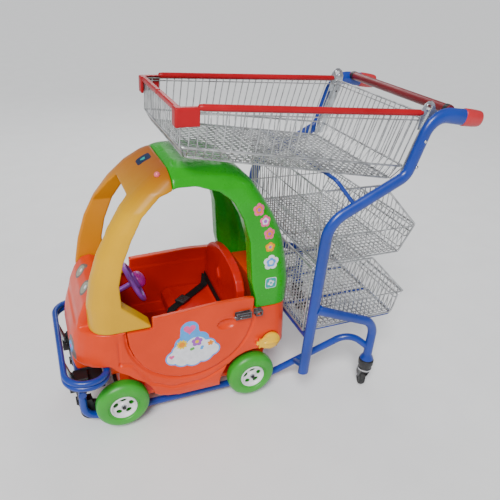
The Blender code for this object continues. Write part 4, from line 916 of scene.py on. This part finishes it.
def latch_and_cap():
    """Dull steel rails and bands round the bolt, its keeper, and the yellow filler cap with its grip."""
    low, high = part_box("latch_barrel")
    mid_z, face = (low.z + high.z) / 2, low.y
    backing = [(low.x - 0.002, mid_z - 0.013), (high.x, mid_z - 0.013), (high.x, mid_z + 0.014),
               (low.x - 0.002, mid_z + 0.014)]
    plate("latch_backing", backing, 0.0012, "steel", Matrix.Translation((0, -0.2002, 0)) @ UPRIGHT,
          "car_door", 0.0004)
    rails = [[(x, face + 0.0030, mid_z + rise) for x in (low.x - 0.001, high.x)]
             for rise in (-0.0098, 0.0102)]
    bar("latch_rails", rails, 0.0028, "steel", "car_door")
    bands = [[(x, face + 0.0050, mid_z - 0.0090), (x, face - 0.0004, mid_z - 0.0045),
              (x, face - 0.0004, mid_z + 0.0045), (x, face + 0.0050, mid_z + 0.0090)]
             for x in (low.x + 0.003, high.x - 0.003)]
    bar("latch_bands", bands, 0.0022, "steel", "car_door")
    front, back = -0.0275, 0.000
    keeper = [(front, mid_z - 0.011), (back, mid_z - 0.011), (back, mid_z + 0.012), (front, mid_z + 0.012)]
    plate("latch_keeper_plate", keeper, 0.0014, "steel", Matrix.Translation((0, -0.1958, 0)) @ UPRIGHT,
          "trolley", 0.0004)
    loops = [[(x, -0.1960, mid_z - 0.0085), (x, -0.2105, mid_z - 0.0080), (x, -0.2135, mid_z),
              (x, -0.2105, mid_z + 0.0080), (x, -0.1960, mid_z + 0.0085)] for x in (-0.0230, -0.0030)]
    rails = [[(x, -0.2110, mid_z + rise) for x in (-0.0250, -0.0010)] for rise in (-0.0085, 0.0085)]
    bar("latch_keeper_loops", loops + rails, 0.0026, "steel", "trolley")
    centre = Vector((0.043, -0.2030, 0.253))
    body = tool_rod(centre + Vector((0, 0.006, 0)), centre - Vector((0, 0.004, 0)), 0.0325, 40)
    crown = tool_ball(centre - Vector((0, 0.0035, 0)), (0.0300, 0.0065, 0.0300))
    grip = tool_ball(centre - Vector((0.001, 0.0075, 0)), (0.0290, 0.0085, 0.0070))
    tab = tool_side([(-0.0020, 0.2330), (0.0050, 0.2380), (0.020, 0.2290), (0.034, 0.2290), (0.034, 0.2770),
                     (0.020, 0.2770), (0.0050, 0.2680), (-0.0020, 0.2730)], -0.2110, -0.2030)
    link = tool_box((-0.0070, -0.2070, 0.2458), (0.0020, -0.2035, 0.2602))
    knuckle = tool_rod((-0.007, -0.2035, 0.2455), (-0.007, -0.2035, 0.2605), 0.0038, 16)
    moulded("fuel_cap_moulding", body, 0.0010, 4, "lemon", "filler_cap", ["fuel_cap"],
            joins=[crown, grip, tab, link, knuckle])


def strap(name, path, across, width, thickness):
    """A flat band along a path, with rounded long edges; across gives its width's direction per point."""
    bm = bmesh.new()
    rows = []
    for index, point in enumerate(path):
        ahead = (path[min(index + 1, len(path) - 1)] - path[max(index - 1, 0)]).normalized()
        wide = (across[index] - ahead * across[index].dot(ahead)).normalized()
        up = wide.cross(ahead).normalized()
        section = ((-0.5, 0), (-0.47, 0.4), (0.47, 0.4), (0.5, 0), (0.47, -0.4), (-0.47, -0.4))
        rows.append([bm.verts.new(point + wide * (a * width) + up * (b * thickness)) for a, b in section])
    skinned(bm, rows)
    bm.faces.new(list(reversed(rows[0])))
    bm.faces.new(rows[-1])
    return put(name, shaded(bm, name, 50), "webbing", "trolley")


def seat_and_belt():
    """The seat with its low lozenge, and the two halves of the belt with their buckle."""
    lozenge = bmesh.new()
    bmesh.ops.create_cone(lozenge, cap_ends=True, segments=4, radius1=0.036, radius2=0.028, depth=0.012)
    turn = (Matrix.Translation((-0.0790, 0.0160, 0.412)) @ Matrix.Rotation(-math.pi / 2, 4, "Y")
            @ Matrix.Diagonal((1.0, 0.62, 1, 1)))
    bmesh.ops.transform(lozenge, matrix=turn, verts=lozenge.verts)
    moulded("seat_moulding", "seat", 0.0028, 9, "deep_red", "trolley", ["seat"],
            joins=[lozenge])
    path, across = [], []
    for step in range(25):
        share = step / 24
        sag = 0.006 * math.sin(math.pi * share)
        path.append(Vector((-0.0812 - 0.0016 * share, lerp(0.158, -0.148, share),
                            lerp(0.333, 0.315, share) - sag)))
        across.append(Vector((0, 0.05, 1)))
    back = strap("belt_back_half", path, across, 0.029, 0.0026)
    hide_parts("seat_belt")
    corners = [Vector(corner) for corner in (
        (-0.0815, 0.152, 0.337), (-0.0880, 0.138, 0.3012), (-0.2490, 0.012, 0.3012), (-0.2562, 0.004, 0.292),
        (-0.2575, 0.001, 0.252))]
    path = arc_corners(corners, (0.012, 0.006, 0.006), 8)
    fine = []
    for a, b in zip(path, path[1:]):
        count = max(1, round((b - a).length / 0.008))
        fine += [a.lerp(b, i / count) for i in range(count)]
    fine.append(path[-1])
    wide = Vector((-0.62, 0.78, 0))
    strap("belt_front_half", fine, [wide] * len(fine), 0.028, 0.0026)
    place = (corners[2] - corners[1]).to_track_quat("X", "Z").to_matrix().to_4x4()
    place.translation = corners[1].lerp(corners[2], 0.68) + Vector((0, 0, 0.0022))
    shell = tool_box((-0.022, -0.0185, -0.0015), (0.022, 0.0185, 0.0065))
    slot = tool_box((-0.016, -0.0125, 0.0045), (-0.004, 0.0125, 0.0100))
    button = tool_ball((0.009, 0, 0.0062), (0.0085, 0.0110, 0.0022))
    moulded("belt_buckle_shell", shell, 0.0009, 4, "black", "trolley", cuts=[slot], joins=[button],
            place=place)


def steering():
    """Rim, spokes, boss and column, with a domed horn on the driver's side."""
    joint = joint_of("steering")
    axis = Vector(joint["axis"]).normalized()
    turn = axis.to_track_quat("Z", "Y").to_matrix().to_4x4()
    turn.translation = Vector(joint["pos_m"])
    ring = [turn @ Vector((x, y, 0)) for x, y in ring_points(0.066, 48)]
    bar("steering_rim", [ring], 0.0075, "violet", "steering", ["steering_wheel"],
        resolution=6, closed=True)
    spokes = []
    for number in range(3):
        angle = math.radians(90 + 120 * number)
        spokes.append([turn @ Vector((r * math.cos(angle), r * math.sin(angle), 0)) for r in (0, 0.064)])
    bar("steering_spokes", spokes, 0.0060, "violet", "steering", resolution=5)
    boss = [(0, 0.014), (0.026, 0.014), (0.029, 0.010), (0.028, 0.004), (0.020, -0.010), (0.0085, -0.014),
            (0.0085, -0.110), (0, -0.110)]
    turned("steering_boss", boss, turn, "violet", "steering", steps=48)
    horn = [(0, 0.038)] + [(0.0290 * math.sin(a), 0.018 + 0.020 * math.cos(a))
                           for a in (math.pi / 2 * i / 8 for i in range(1, 9))]
    horn += [(0.0292, 0.0155), (0.0270, 0.0142), (0, 0.0142)]
    turned("steering_horn", horn, turn, "magenta", "steering", steps=48)


# ---- stickers -----------------------------------------------------------------------------
def petals(radius, count=5, depth=0.28, turn=0.3, steps=60):
    """A flower's outline."""
    angles = [2 * math.pi * i / steps for i in range(steps)]
    lobes = [radius * (1 - depth + depth * abs(math.cos(count / 2 * (a - turn))) ** 0.6) for a in angles]
    return [(r * math.cos(a), r * math.sin(a)) for a, r in zip(angles, lobes)]


def heart(size, steps=48):
    """A heart's outline, about 2 * size wide."""
    points = []
    for i in range(steps):
        t = 2 * math.pi * i / steps
        points.append((size * math.sin(t) ** 3, size * (13 * math.cos(t) - 5 * math.cos(2 * t)
                       - 2 * math.cos(3 * t) - math.cos(4 * t)) / 16))
    return points


def blob(circles, grow, steps=96):
    """The outline round a group of circles, as seen from their middle."""
    middle = Vector((sum(c[0] for c in circles), sum(c[1] for c in circles))) / len(circles)
    points = []
    for ray in map(Vector, around(steps)):
        far = 0.0
        for x, y, radius in circles:
            to = Vector((x, y)) - middle
            along, aside = to.dot(ray), to.x * ray.y - to.y * ray.x
            if abs(aside) < radius + grow:
                far = max(far, along + math.sqrt((radius + grow) ** 2 - aside ** 2))
        points.append(tuple(middle + ray * far))
    return points


def skin_of(piece):
    """The piece's surface, ready to be hit by rays."""
    return BVHTree.FromObject(piece, bpy.context.evaluated_depsgraph_get())


def sticker_on(name, outline, middle, origin, across, up, tree, colour, layer, body="trolley"):
    """A thin sticker laid on a surface: outline is drawn on the plane of across and up about origin,
    and every point is dropped along that plane's normal on to the surface."""
    across, up = Vector(across).normalized(), Vector(up).normalized()
    inward = up.cross(across).normalized()
    bm = bmesh.new()
    rows = []
    for share in (0.0, 0.25, 0.5, 0.75, 1.0):
        ring = []
        for x, y in (outline if share else outline[:1]):
            x, y = lerp(middle[0], x, share), lerp(middle[1], y, share)
            start = Vector(origin) + across * x + up * y - inward * 0.10
            hit = tree.ray_cast(start, inward)[0]
            if hit is None:
                hit = start + inward * 0.10
            ring.append(hit - inward * (0.0004 + DECAL * layer))
        rows.append(ring)
    layers = []
    for sink in (0.0, 0.0012 + DECAL * layer):
        layers.append([[bm.verts.new(point + inward * sink) for point in ring] for ring in rows])
    for grid in layers:
        skinned(bm, grid)
    for i in range(len(outline)):
        j = (i + 1) % len(outline)
        bm.faces.new((layers[0][-1][i], layers[0][-1][j], layers[1][-1][j], layers[1][-1][i]))
    put(name, shaded(bm, name, 50), f"ink_{colour}", body)


def moved(outline, x, y, scale=1.0):
    """An outline scaled, then moved by x and y."""
    return [(x + scale * a, y + scale * b) for a, b in outline]


def layered(prefix, tree, origin, rows, at=(0, 0), across=(1, 0, 0), up=(0, 0, 1)):
    """Stickers laid on one another; a row is a name, an outline, a colour and a layer."""
    for name, outline, colour, layer in rows:
        sticker_on(f"{prefix}_{name}", moved(outline, *at), at, origin, across, up, tree, colour, layer)


def stickers():
    """Plain clouds, hearts, suns and flowers on the door, the pillar, the nose and the roof."""
    door = skin_of(bpy.data.objects["door_moulding"])
    base = ((-0.298, 0.262, 0.024), (-0.268, 0.252, 0.028), (-0.232, 0.247, 0.029), (-0.195, 0.254, 0.028),
            (-0.168, 0.268, 0.022), (-0.275, 0.285, 0.028), (-0.225, 0.295, 0.036), (-0.185, 0.288, 0.024))
    top = ((-0.268, 0.312, 0.024), (-0.212, 0.318, 0.026), (-0.246, 0.345, 0.028), (-0.247, 0.366, 0.026))
    sun = [(0.0165 * (1 + 0.16 * math.cos(10 * a)) * math.cos(a), 0.0165 * (1 + 0.16 * math.cos(10 * a))
            * math.sin(a)) for a in (2 * math.pi * i / 80 for i in range(80))]
    sun_at, bloom_at = (-0.272, 0.311), (-0.222, 0.312)
    shapes = [("cloud_border", blob(base + top, 0.0045), "sky", 0), ("cloud", blob(base, 0.0), "white", 1),
              ("heart", moved(heart(0.0200), -0.247, 0.366), "rose", 1),
              ("sun", moved(sun, *sun_at), "sun", 2),
              ("sun_middle", ring_points(0.0095, 24, sun_at), "amber", 3),
              ("bloom", moved(petals(0.0190, 5, 0.35), *bloom_at), "violet", 2),
              ("bloom_middle", ring_points(0.0065, 20, bloom_at), "sun", 3),
              ("small_heart", moved(heart(0.0090), -0.306, 0.268), "rose", 2),
              ("small_star", moved(petals(0.0110, 5, 0.5), -0.176, 0.296), "amber", 2),
              ("leaf_left", moved(petals(0.0080, 2, 0.6), -0.238, 0.286), "leaf", 2),
              ("leaf_right", moved(petals(0.0080, 2, 0.6, 1.2), -0.205, 0.284), "sky", 2)]
    for name, outline, colour, layer in shapes:
        middle = (sum(x for x, _ in outline) / len(outline), sum(y for _, y in outline) / len(outline))
        sticker_on(f"door_{name}", outline, middle, (0, -0.200, 0), (1, 0, 0), (0, 0, 1), door, colour,
                   layer, "car_door")
    pillar = skin_of(bpy.data.objects["roof_moulding"])
    blooms = (("rose", "amber", -0.029, 0.745, 0.0200), ("rose", "white", -0.007, 0.706, 0.0190),
              ("rose", "amber", 0.009, 0.663, 0.0195), ("amber", "sun", 0.014, 0.617, 0.0170),
              ("white", "sky", 0.021, 0.562, 0.0265))
    for number, (outer, inner, x, z, radius) in enumerate(blooms):
        layered(f"pillar_flower_{number}", pillar, (0, PILLAR_Y, 0), (
            ("petals", petals(radius), outer, 0), ("middle", petals(radius * 0.62), inner, 1),
            ("eye", ring_points(radius * 0.30, 20), "white" if outer == "white" else "violet", 2)), (x, z))
    square = [(0.0195 * math.copysign(abs(x) ** 0.35, x), 0.0195 * math.copysign(abs(y) ** 0.35, y))
              for x, y in around(48)]
    layered("pillar_square", pillar, (0, PILLAR_Y, 0), (
        ("border", square, "white", 0), ("field", moved(square, 0, 0, 0.9), "teal", 1),
        ("leaf", petals(0.0120, 4, 0.55), "white", 2), ("dot", ring_points(0.0040, 16), "teal", 3)),
        (0.026, 0.486))
    nose = skin_of(bpy.data.objects["car_body_moulding"])
    patch = blob(((0, 0.012, 0.026), (-0.018, -0.012, 0.022), (0.018, -0.014, 0.022)), 0.0)
    layered("nose", nose, (-0.590, -0.098, 0.312), (
        ("field", patch, "grey", 0), ("bloom", petals(0.0200), "sky", 1),
        ("middle", ring_points(0.0070, 20), "rose", 2)), across=(0.25, -0.97, 0), up=(0.18, 0.02, 0.98))
    for side, sign in SIDES:
        layered(f"headlight_{side}", nose, (-0.533, sign * 0.052, 0.484), (
            ("rim", ring_points(0.0260, 40), "grey", 0), ("lens", ring_points(0.0190, 40), "lens", 1),
            ("glint", ring_points(0.0060, 20, (0.004, 0.005)), "white", 2)),
            across=(0, -1, 0), up=(0.45, 0, 0.89))
    roof = skin_of(bpy.data.objects["windshield_frame_moulding"])
    layered("roof_square", roof, (-0.337, 0.028, 0.866), (
        ("field", moved(square, 0, 0, 1.2), "navy", 0), ("mark", petals(0.0090, 3, 0.5), "teal", 1)),
        across=(0, -1, 0), up=(0.75, 0, 0.66))


# ---- scene --------------------------------------------------------------------------------
def photo_camera():
    """The main camera: in front of the cart, at its left and above it."""
    azimuth, elevation, roll = 0.427742, 0.499401, -0.0704425       # radians
    ahead = Vector((math.sin(azimuth) * math.cos(elevation), math.cos(azimuth) * math.cos(elevation),
                    -math.sin(elevation)))
    right = Vector((math.cos(azimuth), -math.sin(azimuth), 0))
    down = ahead.cross(right)
    if down.z > 0:
        down = -down
    tilted_right = right * math.cos(roll) + down * math.sin(roll)
    tilted_down = down * math.cos(roll) - right * math.sin(roll)
    data = bpy.data.cameras.new("camera")
    data.lens = 37.43
    data.sensor_width = 36.0
    data.clip_start = 0.05
    camera = linked("camera", data)
    turn = Matrix((tilted_right, -tilted_down, -ahead)).transposed().to_4x4()
    turn.translation = (-0.6341, -1.4629, 1.3796)
    camera.matrix_world = turn
    bpy.context.scene.camera = camera


def light(name, place, target, size, power, colour=(1, 1, 1)):
    """A round lamp with a soft edge, turned towards its target."""
    data = bpy.data.lights.new(name, "AREA")
    data.shape = "DISK"
    data.size, data.energy, data.color = size, power, colour
    lamp = linked(name, data)
    lamp.location = place
    lamp.rotation_mode = "QUATERNION"
    lamp.rotation_quaternion = (Vector(target) - Vector(place)).to_track_quat("-Z", "Y")


def studio():
    """A pale floor, a pale world, a broad sun and soft lights."""
    bm = bmesh.new()
    bmesh.ops.create_grid(bm, x_segments=1, y_segments=1, size=60.0)
    floor = put("studio_floor", shaded(bm, "studio_floor"), "floor")
    floor.location.z = -0.0005
    world = bpy.data.worlds.new("studio")
    world.use_nodes = True
    world.node_tree.nodes["Background"].inputs["Color"].default_value = (0.93, 0.96, 1.0, 1.0)
    world.node_tree.nodes["Background"].inputs["Strength"].default_value = 0.38
    bpy.context.scene.world = world
    data = bpy.data.lights.new("sun", "SUN")
    data.energy, data.angle = 2.8, math.radians(22)
    sun = linked("sun", data)
    sun.rotation_mode = "QUATERNION"
    sun.rotation_quaternion = Vector((0.45, 0.62, -0.85)).to_track_quat("-Z", "Y")
    light("key", (-1.2, -2.2, 2.6), (0, 0, 0.4), 1.0, 30, (1.0, 0.98, 0.95))
    light("back", (0.6, 2.8, 2.6), (0, 0, 0.6), 2.0, 30)


photo_camera()
studio()
top_basket()
basket_trim()
shelf_wires("middle", MIDDLE_OUTLINE, 0.261, 0.660)
shelf_wires("tray", TRAY_OUTLINE, 0.259, 0.400)
frame_parts()
front_end()
rear_casters()
toy_wheels()
car_shell()
latch_and_cap()
seat_and_belt()
steering()
stickers()
for name, look in (("front_axle", "black"), ("rear_axle", "black"), ("latch_barrel", "steel"),
                   ("latch_bolt", "chrome")):
    nodes[name].data.materials.clear()
    nodes[name].data.materials.append(FINISH[look])
